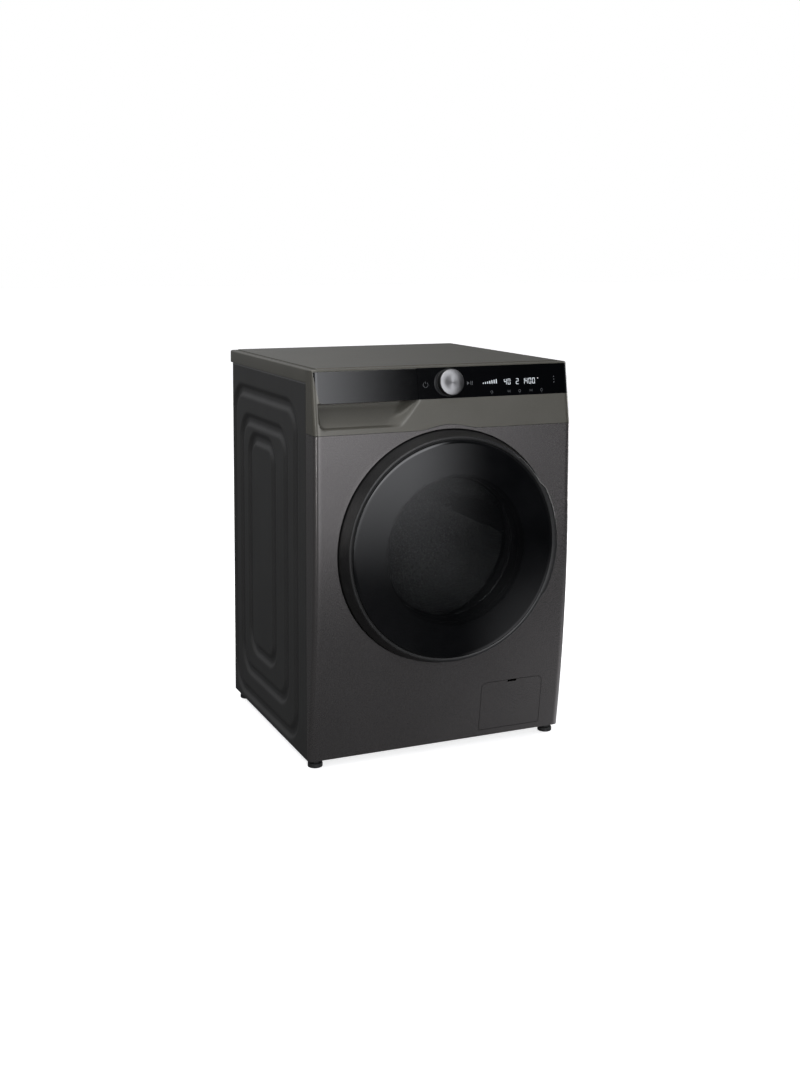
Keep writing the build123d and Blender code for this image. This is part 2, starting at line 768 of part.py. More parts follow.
def power_gland():
    y = rear - sheet - gap
    body = rod_y(gland_x, gland_z, y - 16, y + 0.5, 7.7) + rod_y(gland_x, gland_z, y, y + 10, 11)
    return body - rod_y(gland_x, gland_z, y - 20, y + 12, 4.2)


def inlet_valve():
    y = rear - sheet - gap
    body = rod_y(inlet_x, inlet_z, y, y + inlet_length, inlet_radius)
    body = body + rod_y(inlet_x, inlet_z, y - 14, y + 1, inlet_radius - 1.2)
    body = body - rod_y(inlet_x, inlet_z, y - 2, y + inlet_length + 1, 9.5)
    body = body + rod_y(inlet_x, inlet_z, y - 2 * sheet - 4, y - sheet - 0.1, 20)
    body = body + block(inlet_x - 16, inlet_x + 16, y - 44, y - 12, inlet_z - 16, inlet_z + 12)
    body = body + rod_y(inlet_x, inlet_z - 2, y - 60, y - 42, 6)
    return body


def main_board_box():
    y1 = rear - 2 * sheet - 2 * gap
    body = block(120, 225, y1 - 46, y1, 640, 745)
    return fillet(body.edges(), 3)


# ---------------------------------------------------------------- tub group
def tub_front_shell():
    inner = tub_radius - tub_wall
    body = turned([
        (tub_mouth_radius, tub_y0), (tub_radius, tub_y0), (tub_radius, tub_split - 8),
        (tub_radius + 8, tub_split - 8), (tub_radius + 8, tub_split),
        (inner, tub_split), (inner, tub_y0 + tub_wall), (tub_mouth_radius, tub_y0 + tub_wall),
    ])
    lip = turned([(tub_mouth_radius - 4, tub_y0 - 12), (tub_mouth_radius, tub_y0 - 12),
                  (tub_mouth_radius, tub_y0 - 0.5), (tub_mouth_radius + 1, tub_y0 + 2),
                  (tub_mouth_radius - 4, tub_y0 + tub_wall)])
    return body + lip + lugs(spring_front_y, damper_front_y) + sump_spigot()


def sump_spigot():
    z_top = axis_height - tub_radius + 8
    spigot = tube_z(sump_x, sump_y, sump_low, z_top, 18, 15)
    return spigot - rod_y(axis_x, axis_height, tub_y0, tub_split, tub_radius - 1)


def lugs(spring_y, damper_y):
    """Ears on the tub for one pair of springs and one pair of dampers."""
    solids = None
    for side in (-1, 1):
        x = side * spring_x
        ear = block(x - 12, x + 12, spring_y - 4, spring_y + 4, 560, spring_low - 2)
        x = side * damper_x
        leg = block(x - 11, x + 11, damper_y - 9, damper_y + 9, lug_low, 330)
        both = ear + leg
        solids = both if solids is None else solids + both
    core = rod_y(axis_x, axis_height, tub_y0 - 5, tub_y1 + 5, tub_radius - 1)
    return solids - core


def tub_rear_shell():
    inner = tub_radius - tub_wall
    hub = shaft_radius + 20
    body = turned([
        (inner, tub_split + gap), (tub_radius + 8, tub_split + gap), (tub_radius + 8, tub_split + 8),
        (tub_radius, tub_split + 8), (tub_radius, tub_y1), (hub + 14, tub_y1), (hub + 8, tub_y1 + 26),
        (hub - 8, tub_y1 + 26), (hub - 8, tub_y1 - 8), (hub + 8, tub_y1 - 8),
        (hub + 14, tub_y1 - tub_wall), (inner, tub_y1 - tub_wall),
    ])
    # Ribs that stiffen the rear wall.
    for i in range(8):
        rib = block(axis_x + hub + 6, axis_x + tub_radius - 6, tub_y1 - 1, tub_y1 + 9,
                    axis_height - 2, axis_height + 2)
        body = body + round_y(rib, axis_x, axis_height, 45 * i + 22.5)
    spout = tube_z(dispenser_x, dispenser_y, 660, dispenser_low, 16, 13.5)
    spout = spout - rod_y(axis_x, axis_height, tub_y0, tub_y1 + 5, tub_radius - 1)
    body = body + spout + lugs(spring_rear_y, damper_rear_y)
    for angle in (-heater_angle, heater_angle):
        x, z = polar(heater_ring, -90 + angle)
        body = body - rod_y(x, z, tub_y1 - 20, tub_y1 + 5, 3 + gap)
    # Lugs that hold the motor.
    clamp = tube_y(motor_x, motor_height, tub_y1 - 90, tub_y1 - 66,
                   motor_radius + 5, motor_radius + gap / 3)
    arm = block(motor_x - 30, motor_x + 30, tub_y1 - 90, tub_y1 - 66, motor_height + 50, 235)
    arm = arm - rod_y(axis_x, axis_height, tub_y0, tub_y1 + 5, tub_radius - 1)
    arm = arm - rod_y(motor_x, motor_height, tub_y0, tub_y1, motor_radius + gap / 3)
    return body + clamp + arm


def counterweights():
    """Concrete blocks bolted to the front of the tub, above and below its mouth."""
    r_in, r_out = tub_mouth_radius + 12, tub_radius - 4
    y_front, y_back = tub_y0 - weight_thickness, tub_y0 - gap / 3
    ring = turned([(r_in, y_front), (r_out, y_front), (r_out, y_back), (r_in, y_back)])
    top = ring & block(-220, 220, front, tub_y0 + 5, axis_height + 105, axis_height + 300)
    bottom = ring & block(-220, 220, front, tub_y0 + 5, axis_height - 300, axis_height - 105)
    return [top, bottom]


def drum_bearings():
    seat = shaft_radius + 12
    y0 = tub_y1 - 8
    front_bearing = tube_y(axis_x, axis_height, y0 + 1, y0 + 14, seat, shaft_radius + run)
    rear_bearing = tube_y(axis_x, axis_height, tub_y1 + 12, tub_y1 + 25, seat - 0.02, shaft_radius + run)
    return [front_bearing, rear_bearing]


def motor_housing():
    y0 = tub_y1 - motor_length
    body = tube_y(motor_x, motor_height, y0, tub_y1 + 8, motor_radius, motor_radius - 4)
    for y in (y0, tub_y1 + 4):
        body = body + (rod_y(motor_x, motor_height, y, y + 4, motor_radius - 2)
                       - rod_y(motor_x, motor_height, y - 1, y + 5, 8 + run))
    stator = tube_y(motor_x, motor_height, y0 + 30, y0 + 110, motor_radius - 3.9, 38)
    return body + stator


def motor_rotor():
    y0 = tub_y1 - motor_length
    body = rod_y(motor_x, motor_height, y0 - 4, pulley_y + pulley_width + 2, 8)
    body = body + rod_y(motor_x, motor_height, y0 + 32, y0 + 108, 36)
    body = body + rod_y(motor_x, motor_height, pulley_y, pulley_y + pulley_width, motor_pulley_radius)
    return body


def drive_belt():
    """Flat ribbed belt round both pulleys."""
    dx, dz = motor_x - axis_x, motor_height - axis_height
    distance = sqrt(dx**2 + dz**2)
    along = atan2(dz, dx)
    tilt = asin((pulley_radius - motor_pulley_radius) / distance)

    def tangents(extra):
        points = []
        for sign in (1, -1):
            a = along + sign * (pi / 2 - tilt)
            big = (axis_x + (pulley_radius + extra) * cos(a),
                   axis_height + (pulley_radius + extra) * sin(a))
            small = (motor_x + (motor_pulley_radius + extra) * cos(a),
                     motor_height + (motor_pulley_radius + extra) * sin(a))
            points.append((big, small))
        return points

    def loop(extra):
        (big_a, small_a), (big_b, small_b) = tangents(extra)
        far_big = (axis_x - (pulley_radius + extra) * cos(along),
                   axis_height - (pulley_radius + extra) * sin(along))
        far_small = (motor_x + (motor_pulley_radius + extra) * cos(along),
                     motor_height + (motor_pulley_radius + extra) * sin(along))
        lines = [Line(big_a, small_a), ThreePointArc(small_a, far_small, small_b),
                 Line(small_b, big_b), ThreePointArc(big_b, far_big, big_a)]
        return make_face(Curve(lines))

    ring = loop(gap + belt_thickness) - loop(gap)
    return plate_xz(ring, pulley_y + 1.5, pulley_y + pulley_width - 1.5)


def wash_heater():
    """Hairpin heating element in the space below the drum."""
    x0, z0 = polar(heater_ring, -90 - heater_angle)
    x1, _ = polar(heater_ring, -90 + heater_angle)
    y_end = tub_y1 - 200
    body = rod_y(x0, z0, y_end, tub_y1 + 14, 3) + rod_y(x1, z0, y_end, tub_y1 + 14, 3)
    body = body + rod_x(y_end, z0, x0, x1, 3)
    return body + block(x0 - 8, x1 + 8, tub_y1 + gap / 3, tub_y1 + 6, z0 - 7, z0 + 9)


def damper_rods():
    rods = []
    for x, y in damper_positions():
        rod = rod_z(x, y, 158, lug_low - gap / 3, 5) + rod_z(x, y, 158, 176, 9.6)
        rods.append(rod)
    return rods


def damper_cylinders():
    return [rod_z(x, y, damper_low, 222, damper_radius) - rod_z(x, y, damper_low + 6, 230, 10)
            for x, y in damper_positions()]


def suspension_springs():
    coil_low, coil_high = spring_low + 12, spring_high - 12
    coil_height = coil_high - coil_low
    path = Helix(pitch=coil_height / spring_turns, height=coil_height, radius=spring_coil)
    section = Plane(origin=path @ 0, z_dir=path % 0) * Circle(spring_wire)
    coil = sweep(section, path=path, is_frenet=True)
    low = rod_z(0, 0, -12 - 1.7, 1, spring_wire) + rod_x(0, 0, 0, spring_coil, spring_wire)
    high = rod_z(0, 0, coil_height - 1, coil_height + 12 - 0.3, spring_wire)
    high = high + rod_x(0, coil_height, 0, spring_coil, spring_wire)
    spring = coil + low + high
    return [Pos(x, y, coil_low) * spring for x, y in spring_positions()]


# ---------------------------------------------------------------- dryer group


def dryer_duct():
    wall = 2.0
    body = block(duct_left, duct_right, duct_y0, duct_y1, duct_low, duct_high)
    body = fillet(body.edges().filter_by(Axis.Z), 12)
    body = body - block(duct_left + wall, duct_right - wall, duct_y0 + wall, duct_y1 - wall,
                        duct_low + wall, duct_high - wall)
    # Hollow legs carry the duct on the tub and pass the air.
    for y in (duct_y0 + 25, duct_y1 - 25):
        leg = block(85, 145, y - 20, y + 20, 640, duct_low + 1)
        leg = leg - block(87, 143, y - 18, y + 18, 630, duct_low + 5)
        leg = leg - rod_y(axis_x, axis_height, tub_y0 - 5, tub_y1 + 5, tub_radius + gap / 3)
        body = body + leg
        body = body - block(87, 143, y - 18, y + 18, duct_low - 2, duct_low + wall + 1)
    # Fan motor on top.
    motor = rod_z(fan_x, fan_y, duct_high - 0.5, duct_high + 24, 30)
    body = body + motor - rod_z(fan_x, fan_y, duct_high - 5, duct_high + 16, 4 + run)
    return body


def dryer_fan():
    shaft = rod_z(fan_x, fan_y, duct_low + 8, duct_high + 14, 4)
    disc = rod_z(fan_x, fan_y, duct_low + 8, duct_low + 11, fan_radius)
    body = shaft + disc
    blades = 12
    for i in range(blades):
        blade = block(fan_x + 22, fan_x + fan_radius - 2, fan_y - 1, fan_y + 1,
                      duct_low + 10, duct_high - 12)
        turn = Pos(fan_x, fan_y, 0) * Rot(0, 0, i * 360 / blades) * Pos(-fan_x, -fan_y, 0)
        body = body + turn * blade
    return body


def dryer_heater():
    """Finned heating element in the duct."""
    z = (duct_low + duct_high) / 2
    body = block(duct_left + 2, duct_right - 2, -70, -66, z - 26, z + 26)
    body = body - block(duct_left + 12, duct_right - 12, -72, -60, z - 18, z + 18)
    for i in range(4):
        x = duct_left + 30 + i * 32
        body = body + rod_z(x, -68, z - 25, z + 25, 4)
    return body


# ---------------------------------------------------------------- drum group
def drum():
    lip = 12.0
    inner = drum_radius - drum_wall
    return turned([
        (drum_mouth_radius, drum_y0), (drum_radius - lip, drum_y0), (drum_radius, drum_y0 + lip),
        (drum_radius, drum_y1), (shaft_radius + 12, drum_y1), (shaft_radius + 12, drum_y1 - drum_wall),
        (inner, drum_y1 - drum_wall), (inner, drum_y0 + lip + 0.6),
        (drum_radius - lip - 0.6, drum_y0 + drum_wall), (drum_mouth_radius, drum_y0 + drum_wall),
    ])


def drum_lifters():
    lifters = []
    for i in range(3):
        angle = 30 + 120 * i
        wedge = make_face(Polyline((-26, -drum_radius + drum_wall), (26, -drum_radius + drum_wall),
                                   (8, -drum_radius + 48), (-8, -drum_radius + 48), close=True))
        lifter = plate_xz(wedge, drum_y0 + 40, drum_y1 - 30)
        lifter = lifter & rod_y(0, 0, drum_y0, drum_y1, drum_radius - drum_wall - gap / 3)
        lifters.append(Pos(axis_x, 0, axis_height) * Rot(0, angle, 0) * lifter)
    return lifters


def drum_spider():
    y0 = drum_y1 + gap / 3
    body = rod_y(axis_x, axis_height, y0, tub_y1 - 9, shaft_radius + 18)
    for i in range(3):
        arm = block(axis_x, axis_x + drum_radius - 8, y0, y0 + 9, axis_height - 14, axis_height + 14)
        body = body + round_y(arm, axis_x, axis_height, 120 * i + 30)
    return body + rod_y(axis_x, axis_height, y0, pulley_y + pulley_width + 6, shaft_radius)


def drum_pulley():
    y0, y1 = pulley_y, pulley_y + pulley_width
    body = tube_y(axis_x, axis_height, y0, y1, pulley_radius, pulley_radius - 8)
    body = body + tube_y(axis_x, axis_height, y0, y1, shaft_radius + 14, shaft_radius + gap / 3)
    for i in range(6):
        arm = block(axis_x + shaft_radius + 10, axis_x + pulley_radius - 6, y0 + 4, y0 + 10,
                    axis_height - 9, axis_height + 9)
        body = body + round_y(arm, axis_x, axis_height, 60 * i)
    return body


# ---------------------------------------------------------------- door
def handle_bump():
    """Bulge of the rim on the side away from the hinge, seen from the front."""
    peak = door_front_radius + handle_reach
    foot = door_front_radius - 2
    inside = door_front_radius - 24
    middle = (handle_low + handle_high) / 2
    crown = ThreePointArc(polar(peak, handle_low + handle_run_in), polar(peak, middle),
                          polar(peak, handle_high - handle_run_in))
    lines = [
        Line(polar(foot, handle_low), crown @ 0),
        crown,
        Line(crown @ 1, polar(foot, handle_high)),
        Line(polar(foot, handle_high), polar(inside, handle_high)),
        Line(polar(inside, handle_high), polar(inside, handle_low)),
        Line(polar(inside, handle_low), polar(foot, handle_low)),
    ]
    return make_face(Curve(lines))


def door_ring():
    """Outer ring of the door, tapering towards its front, with the handle bulge."""
    y_back, y_rim = front + door_back, front - door_rim_depth
    slope_in = door_radius - door_front_radius
    body = turned([
        (door_radius, y_back), (door_radius, front - 4), (door_front_radius + 2, y_rim + 3),
        (door_front_radius - 1, y_rim), (door_front_radius - 8, y_rim),
        (door_front_radius - 8, y_rim + 6), (door_front_radius - 6, y_rim + 8),
        (door_radius - door_wall, front), (door_radius - door_wall, y_back),
    ])
    bump = plate_xz(handle_bump(), y_rim + 3, front - 6)
    bump = bump - turned([
        (0, y_rim - 5), (door_front_radius - 8, y_rim - 5), (door_front_radius - 8, y_rim + 6),
        (door_front_radius - 6, y_rim + 8), (door_radius - door_wall, front),
        (door_radius - door_wall, front + 20), (0, front + 20),
    ])
    body = body + bump
    return body - hinge_clearance(door_radius + 10)


def hinge_clearance(reach):
    """Room in the door for the fixed hinge arms over the whole swing, and for the recess floor."""
    cut = None
    for side in (-1, 1):
        z = axis_height + side * hinge_spread
        tall = hinge_arm_height / 2 + 1.5
        room = rod_z(hinge_x, hinge_y, z - tall, z + tall, 46)
        keep = block(hinge_x + 16, hinge_x + 60, hinge_y - 60, hinge_y + 60, z - tall - 1, z + tall + 1)
        keep = keep + block(hinge_x - 60, hinge_x + 60, hinge_y - 60, hinge_y - 13,
                            z - tall - 1, z + tall + 1)
        room = room - keep
        cut = room if cut is None else cut + room
    edge = block(axis_x - door_radius - 10, hinge_x + 3, front + 1, front + 40,
                 axis_height - 95, axis_height + 95)
    return cut + edge


def door_cover():
    """Domed tinted cover over the whole front of the door."""
    radius = door_front_radius - 8.4
    y_rim = front - door_rim_depth
    t = 4.0
    sphere = (radius**2 + door_dome**2) / (2 * door_dome)
    r_mid = radius * 0.6
    y_mid = y_rim + (sphere - door_dome) - sqrt(sphere**2 - r_mid**2)
    edges = Curve([
        Line((0, y_rim - door_dome + t), (0, y_rim - door_dome)),
        ThreePointArc((0, y_rim - door_dome), (r_mid, y_mid), (radius, y_rim)),
        Line((radius, y_rim), (radius, y_rim + t)),
        ThreePointArc((radius, y_rim + t), (r_mid, y_mid + t), (0, y_rim - door_dome + t)),
    ])
    return turned_edges(edges)


def door_inner_ring():
    """Inner frame: holds the glass bowl, the hinge and the hook."""
    y_back, y_in = front + 11, front - door_rim_depth + 9
    r_out = door_radius - door_wall - 0.4
    body = turned([
        (bowl_radius + 4, y_in), (door_front_radius - 9, y_in), (r_out, front + 0.5), (r_out, y_back),
        (r_out - 3, y_back), (r_out - 3, front + 2), (door_front_radius - 14, y_in + 4),
        (bowl_radius + 30, y_in + 4), (bowl_radius + 30, y_back - 3), (r_out - 6, y_back - 3),
        (r_out - 6, y_back), (bowl_radius + 2, y_back), (bowl_radius + 2, y_back - 4),
        (bowl_radius + 26, y_back - 4), (bowl_radius + 26, y_in + 4), (bowl_radius + 4, y_in + 4),
    ])
    body = body - hinge_clearance(0) - hinge_leaf_body(gap)
    slot = block(axis_x + lock_radius - 9, axis_x + lock_radius + 9, front - 20, front + 20,
                 axis_height - 11, axis_height + 11)
    body = body - slot
    # Cheeks that carry the hook's pivot.
    x = axis_x + lock_radius
    for side in (-1, 1):
        z0, z1 = sorted((axis_height + side * 11.2, axis_height + side * 15))
        cheek = block(x - 8, x + 8, hook_y - 6, y_back, z0, z1)
        body = body + cheek - rod_z(x, hook_y, z0 - 1, z1 + 1, 3 + run)
    return body


def door_bowl():
    """Glass bowl that reaches into the drum's mouth."""
    t = 5.0
    y0 = front + 11 - 4 - gap / 3
    y1 = front + bowl_depth
    flange = bowl_radius + 20
    edges = Curve([
        Line((bowl_radius - 4, y0 - 5), (flange, y0 - 5)),
        Line((flange, y0 - 5), (flange, y0)),
        Line((flange, y0), (bowl_radius, y0)),
        Line((bowl_radius, y0), (bowl_radius - 22, y1 - 22)),
        ThreePointArc((bowl_radius - 22, y1 - 22), (bowl_radius - 32, y1 - 8), (bowl_radius - 52, y1)),
        Line((bowl_radius - 52, y1), (0, y1 + 6)),
        Line((0, y1 + 6), (0, y1 + 6 - t)),
        Line((0, y1 + 6 - t), (bowl_radius - 54, y1 - t)),
        ThreePointArc((bowl_radius - 54, y1 - t), (bowl_radius - 36, y1 - 12), (bowl_radius - 27, y1 - 24)),
        Line((bowl_radius - 27, y1 - 24), (bowl_radius - 4, y0 - 5)),
    ])
    return turned_edges(edges)


def hinge_leaf_body(grow):
    """Hinge pin and leaf, grown all round by a clearance."""
    tall = hinge_spread + 12 + grow
    y_in = front - door_rim_depth + 13.3 - grow
    pin = rod_z(hinge_x, hinge_y, axis_height - tall, axis_height + tall, hinge_pin_radius + grow)
    leaf_half = hinge_spread - hinge_arm_height / 2 - 2 + grow
    leaf = block(hinge_x - 5 - grow, hinge_x + 30 + grow, y_in, hinge_y + 5 + grow,
                 axis_height - leaf_half, axis_height + leaf_half)
    web = block(hinge_x + 18 - grow, hinge_x + 30 + grow, y_in, front + 6 + grow,
                axis_height - leaf_half, axis_height + leaf_half)
    return pin + leaf + web


def door_hinge_leaf():
    """Steel leaf in the door with the hinge pin."""
    return hinge_leaf_body(0)


def door_hinge_bracket():
    """Fixed bracket in the recess, with two arms that reach forward to the pin."""
    plate = block(hinge_x - 8, hinge_x + 36, pocket_floor - 3, pocket_floor - gap / 3,
                  axis_height - hinge_spread - 16, axis_height + hinge_spread + 16)
    plate = plate & rod_y(axis_x, axis_height, front, pocket_floor, pocket_radius - 1)
    body = plate
    for side in (-1, 1):
        z = axis_height + side * hinge_spread
        z0, z1 = z - hinge_arm_height / 2, z + hinge_arm_height / 2
        arm = block(hinge_x - 4.5, hinge_x + 4.5, hinge_y, pocket_floor - 2.5, z0, z1)
        arm = arm + rod_z(hinge_x, hinge_y, z0, z1, 8)
        body = body + arm - rod_z(hinge_x, hinge_y, z0 - 1, z1 + 1, hinge_pin_radius + run)
        screw = rod_y(hinge_x + 26, z, pocket_floor - 6, pocket_floor + 8, 2.2)
        body = body + screw
    return body


def door_hook():
    """Sprung catch on its own pivot in the door."""
    x = axis_x + lock_radius
    pivot = rod_z(x, hook_y, axis_height - 14, axis_height + 14, 3)
    blade = block(x - 3, x + 3, hook_y, pocket_floor + 12, axis_height - 5, axis_height + 5)
    nose = block(x - 3, x + 7, pocket_floor + 8, pocket_floor + 13, axis_height - 5, axis_height + 5)
    return pivot + blade + nose


def door_lock():
    """Lock behind the recess floor; the hook enters through its slot."""
    x = axis_x + lock_radius
    y0 = pocket_floor + sheet + gap / 3
    body = block(x - 20, x + 22, y0, y0 + 24, axis_height - 32, axis_height + 32)
    return body - block(x - 9, x + 13, y0 - 1, y0 + 20, axis_height - 14, axis_height + 14)


def door_gasket():
    """Folded rubber seal between the recess mouth and the tub mouth."""
    y0 = pocket_floor
    r = mouth_radius
    y1 = tub_y0 - 12
    outline = [
        (r - 10, y0 - 4), (r - 2, y0 - 6), (r + 6, y0 - 4), (r + 6, y0 - 0.3), (r - 0.4, y0 - 0.3),
        (r - 0.4, y0 + 14), (r + 14, y0 + 18), (r + 14, y0 + 34), (r + 24, y0 + 36), (r + 24, y1 + 8),
        (tub_mouth_radius + 0.3, y1 + 8), (tub_mouth_radius + 0.3, y1 - 2), (r + 10, y1 - 4),
        (r + 10, y0 + 22), (r - 4, y0 + 18), (r - 4, y0 - 0.3),
    ]
    return turned(outline)


# ---------------------------------------------------------------- water
def dispenser_hose():
    return tube_z(dispenser_x, dispenser_y, dispenser_low - 12, housing_floor - 10, 19, 16.3)


def sump_hose():
    """Bellows from the sump to the pump."""
    bend = 30.0
    z_run = filter_height
    path = Curve([
        Line((sump_x, sump_y, sump_low + 14), (sump_x, sump_y, z_run + bend)),
        ThreePointArc((sump_x, sump_y, z_run + bend),
                      (sump_x + bend * (1 - cos(pi / 4)), sump_y, z_run + bend * (1 - sin(pi / 4))),
                      (sump_x + bend, sump_y, z_run)),
        Line((sump_x + bend, sump_y, z_run), (filter_x - 50, sump_y, z_run)),
    ])
    start = Plane(origin=(sump_x, sump_y, sump_low + 14), z_dir=(0, 0, -1))
    outer = sweep(start * Circle(21.5), path=path)
    inner = sweep(start * Circle(18.3), path=path)
    return outer - inner


def pump_body():
    x, z = filter_x, filter_height
    body = rod_y(x, z, pump_y0, pump_y0 + 104, filter_radius + 6)
    body = body - rod_y(x, z, pump_y0 - 1, pump_y0 + filter_length + 6, filter_radius + gap)
    body = body - rod_y(x, z, pump_y0 + filter_length, pump_y0 + 98, filter_radius - 3)
    inlet = rod_x(sump_y, z, x - 66, x - 30, 18)
    body = body + inlet - rod_x(sump_y, z, x - 70, x - 20, 15)
    outlet = rod_x(pump_y0 + 90, z, x + 30, x + 48, 11)
    body = body + outlet - rod_x(pump_y0 + 90, z, x + 20, x + 66, 8.5)
    body = body + rod_y(x, z, pump_y0 + 103, pump_y1, 24)
    body = body - rod_y(x, z, pump_y0 + 98, pump_y1 - 8, 3 + run)
    foot_block = block(x - 26, x + 26, pump_y0 + 10, pump_y0 + 90,
                       tray_bottom + 2 + gap / 3, z - filter_radius - 2)
    return body + foot_block


def pump_impeller():
    x, z = filter_x, filter_height
    y0 = pump_y0 + 82
    body = rod_y(x, z, y0, pump_y1 - 12, 3) + rod_y(x, z, y0, y0 + 3, 18)
    for i in range(4):
        vane = block(x + 2, x + 19, y0 + 2, y0 + 13, z - 1, z + 1)
        body = body + round_y(vane, x, z, 90 * i)
    return body


def pump_filter():
    """Turn-out filter with a grip bar on its cap."""
    x, z = filter_x, filter_height
    body = rod_y(x, z, pump_y0 - 6, pump_y0 - 0.5, filter_radius + 4)
    body = body + rod_y(x, z, pump_y0 - 1, pump_y0 + 12, filter_radius)
    body = body + block(x - 24, x + 24, pump_y0 - 18, pump_y0 - 5, z - 4, z + 4)
    for i in range(8):
        bar = block(x + filter_radius - 5, x + filter_radius - 2, pump_y0 + 11, pump_y0 + filter_length - 2,
                    z - 2, z + 2)
        body = body + round_y(bar, x, z, 45 * i)
    y_ring = pump_y0 + filter_length - 6
    return body + tube_y(x, z, y_ring, y_ring + 4, filter_radius - 1, filter_radius - 6)


def drain_hose():
    """Corrugated hose inside the cabinet, from the pump to the rear spigot."""
    x0, y0, z0 = filter_x + filter_radius + 8, pump_y0 + 90, filter_height
    straight = 12.0
    bend = drain_x - x0 - straight
    z1 = drain_z
    y_end = rear - 40
    path = Curve([
        Line((x0, y0, z0), (x0 + straight, y0, z0)),
        ThreePointArc((x0 + straight, y0, z0),
                      (x0 + straight + bend * sin(pi / 4), y0 + bend * (1 - cos(pi / 4)), z0),
                      (drain_x, y0 + bend, z0)),
        Spline((drain_x, y0 + bend, z0), (drain_x, (y0 + bend + y_end) / 2, (z0 + z1) / 2),
               (drain_x, y_end, z1), tangents=[(0, 1, 0), (0, 1, 0)]),
        Line((drain_x, y_end, z1), (drain_x, rear - 26, z1)),
    ])
    start = Plane(origin=(x0, y0, z0), z_dir=(1, 0, 0))
    return sweep(start * Circle(14), path=path) - sweep(start * Circle(11.3), path=path)


def drain_spigot():
    y = rear - sheet - gap
    body = rod_y(drain_x, drain_z, y - 40, y + 26, 11)
    body = body + rod_y(drain_x, drain_z, y, y + 3, 17)
    body = body + rod_y(drain_x, drain_z, y - 4, y + 1, 12.6)
    return body - rod_y(drain_x, drain_z, y - 45, y + 30, 8.5)


# ---------------------------------------------------------------- write out
nodes = {
    "base_tray": base_tray,
    "side_panel_left": lambda: side_panel(-1),
    "side_panel_right": lambda: side_panel(1),
    "rear_panel": rear_panel,
    "rear_service_cover": rear_service_cover,
    "cross_braces": cross_braces,
    "front_panel": front_panel,
    "console_fascia": console_fascia,
    "console_glass": console_glass,
    "display_board": display_board,
    "worktop": worktop,
    "cabinet_screws": cabinet_screws,
    "transit_plugs": transit_plugs,
    "power_gland": power_gland,
    "main_board_box": main_board_box,
    "inlet_valve": inlet_valve,
    "drawer_housing": drawer_housing,
    "dispenser_hose": dispenser_hose,
    "door_hinge_bracket": door_hinge_bracket,
    "door_lock": door_lock,
    "door_gasket": door_gasket,
    "pump_body": pump_body,
    "sump_hose": sump_hose,
    "drain_hose": drain_hose,
    "drain_spigot": drain_spigot,
    "foot_lock_nuts": foot_lock_nuts,
    "damper_cylinders": damper_cylinders,
    "suspension_springs": suspension_springs,
    "tub_front_shell": tub_front_shell,
    "tub_rear_shell": tub_rear_shell,
    "counterweights": counterweights,
    "drum_bearings": drum_bearings,
    "motor_housing": motor_housing,
    "drive_belt": drive_belt,
    "wash_heater": wash_heater,
    "damper_rods": damper_rods,
    "dryer_duct": dryer_duct,
    "dryer_heater": dryer_heater,
    "drum": drum,
    "drum_lifters": drum_lifters,
    "drum_spider": drum_spider,
    "drum_pulley": drum_pulley,
    "motor_rotor": motor_rotor,
    "dryer_fan": dryer_fan,
    "pump_impeller": pump_impeller,
    "door_ring": door_ring,
    "door_cover": door_cover,
    "door_inner_ring": door_inner_ring,
    "door_bowl": door_bowl,
    "door_hinge_leaf": door_hinge_leaf,
    "door_hook": door_hook,
    "drawer_tray": drawer_tray,
    "drawer_front": drawer_front,
    "dial_knob": dial_knob,
    "filter_flap": filter_flap,
    "pump_filter": pump_filter,
}
for foot_name, (foot_at_x, foot_at_y) in foot_positions().items():
    nodes["foot_" + foot_name] = lambda x=foot_at_x, y=foot_at_y: foot(x, y)

os.makedirs("parts", exist_ok=True)
for name, make in nodes.items():
    shape = make()
    if isinstance(shape, list):
        shape = Compound(children=[s for item in shape for s in item.solids()])
    export_step(shape, f"parts/{name}.step")
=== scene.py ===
"""Washer-dryer in a white studio: finishes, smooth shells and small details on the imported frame.

Metres, +Z up, the front faces -Y.  Every place is read from the frame's boxes; the named
sizes below are the parts' own sizes.
"""
import json
import math

import bmesh
import bpy
from mathutils import Matrix, Vector

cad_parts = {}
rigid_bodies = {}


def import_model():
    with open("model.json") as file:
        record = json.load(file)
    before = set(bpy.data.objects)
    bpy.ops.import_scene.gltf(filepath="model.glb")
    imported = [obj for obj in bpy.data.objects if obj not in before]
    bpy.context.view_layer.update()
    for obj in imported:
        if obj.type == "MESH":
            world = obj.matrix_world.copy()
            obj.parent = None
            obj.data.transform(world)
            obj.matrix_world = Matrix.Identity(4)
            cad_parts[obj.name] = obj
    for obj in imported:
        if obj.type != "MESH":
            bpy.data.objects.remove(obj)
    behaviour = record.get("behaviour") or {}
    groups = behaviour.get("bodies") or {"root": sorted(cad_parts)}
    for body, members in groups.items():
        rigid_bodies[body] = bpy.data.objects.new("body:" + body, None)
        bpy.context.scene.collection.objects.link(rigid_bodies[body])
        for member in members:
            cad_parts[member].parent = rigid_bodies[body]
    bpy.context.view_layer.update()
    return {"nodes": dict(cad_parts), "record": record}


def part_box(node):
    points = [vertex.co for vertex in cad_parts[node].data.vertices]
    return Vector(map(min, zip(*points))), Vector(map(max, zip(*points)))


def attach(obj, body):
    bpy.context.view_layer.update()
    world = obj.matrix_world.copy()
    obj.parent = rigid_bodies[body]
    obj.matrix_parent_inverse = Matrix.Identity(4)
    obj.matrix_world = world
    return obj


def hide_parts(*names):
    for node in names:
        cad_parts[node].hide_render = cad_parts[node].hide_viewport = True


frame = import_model()

MM = 0.001
NODES = frame["nodes"]

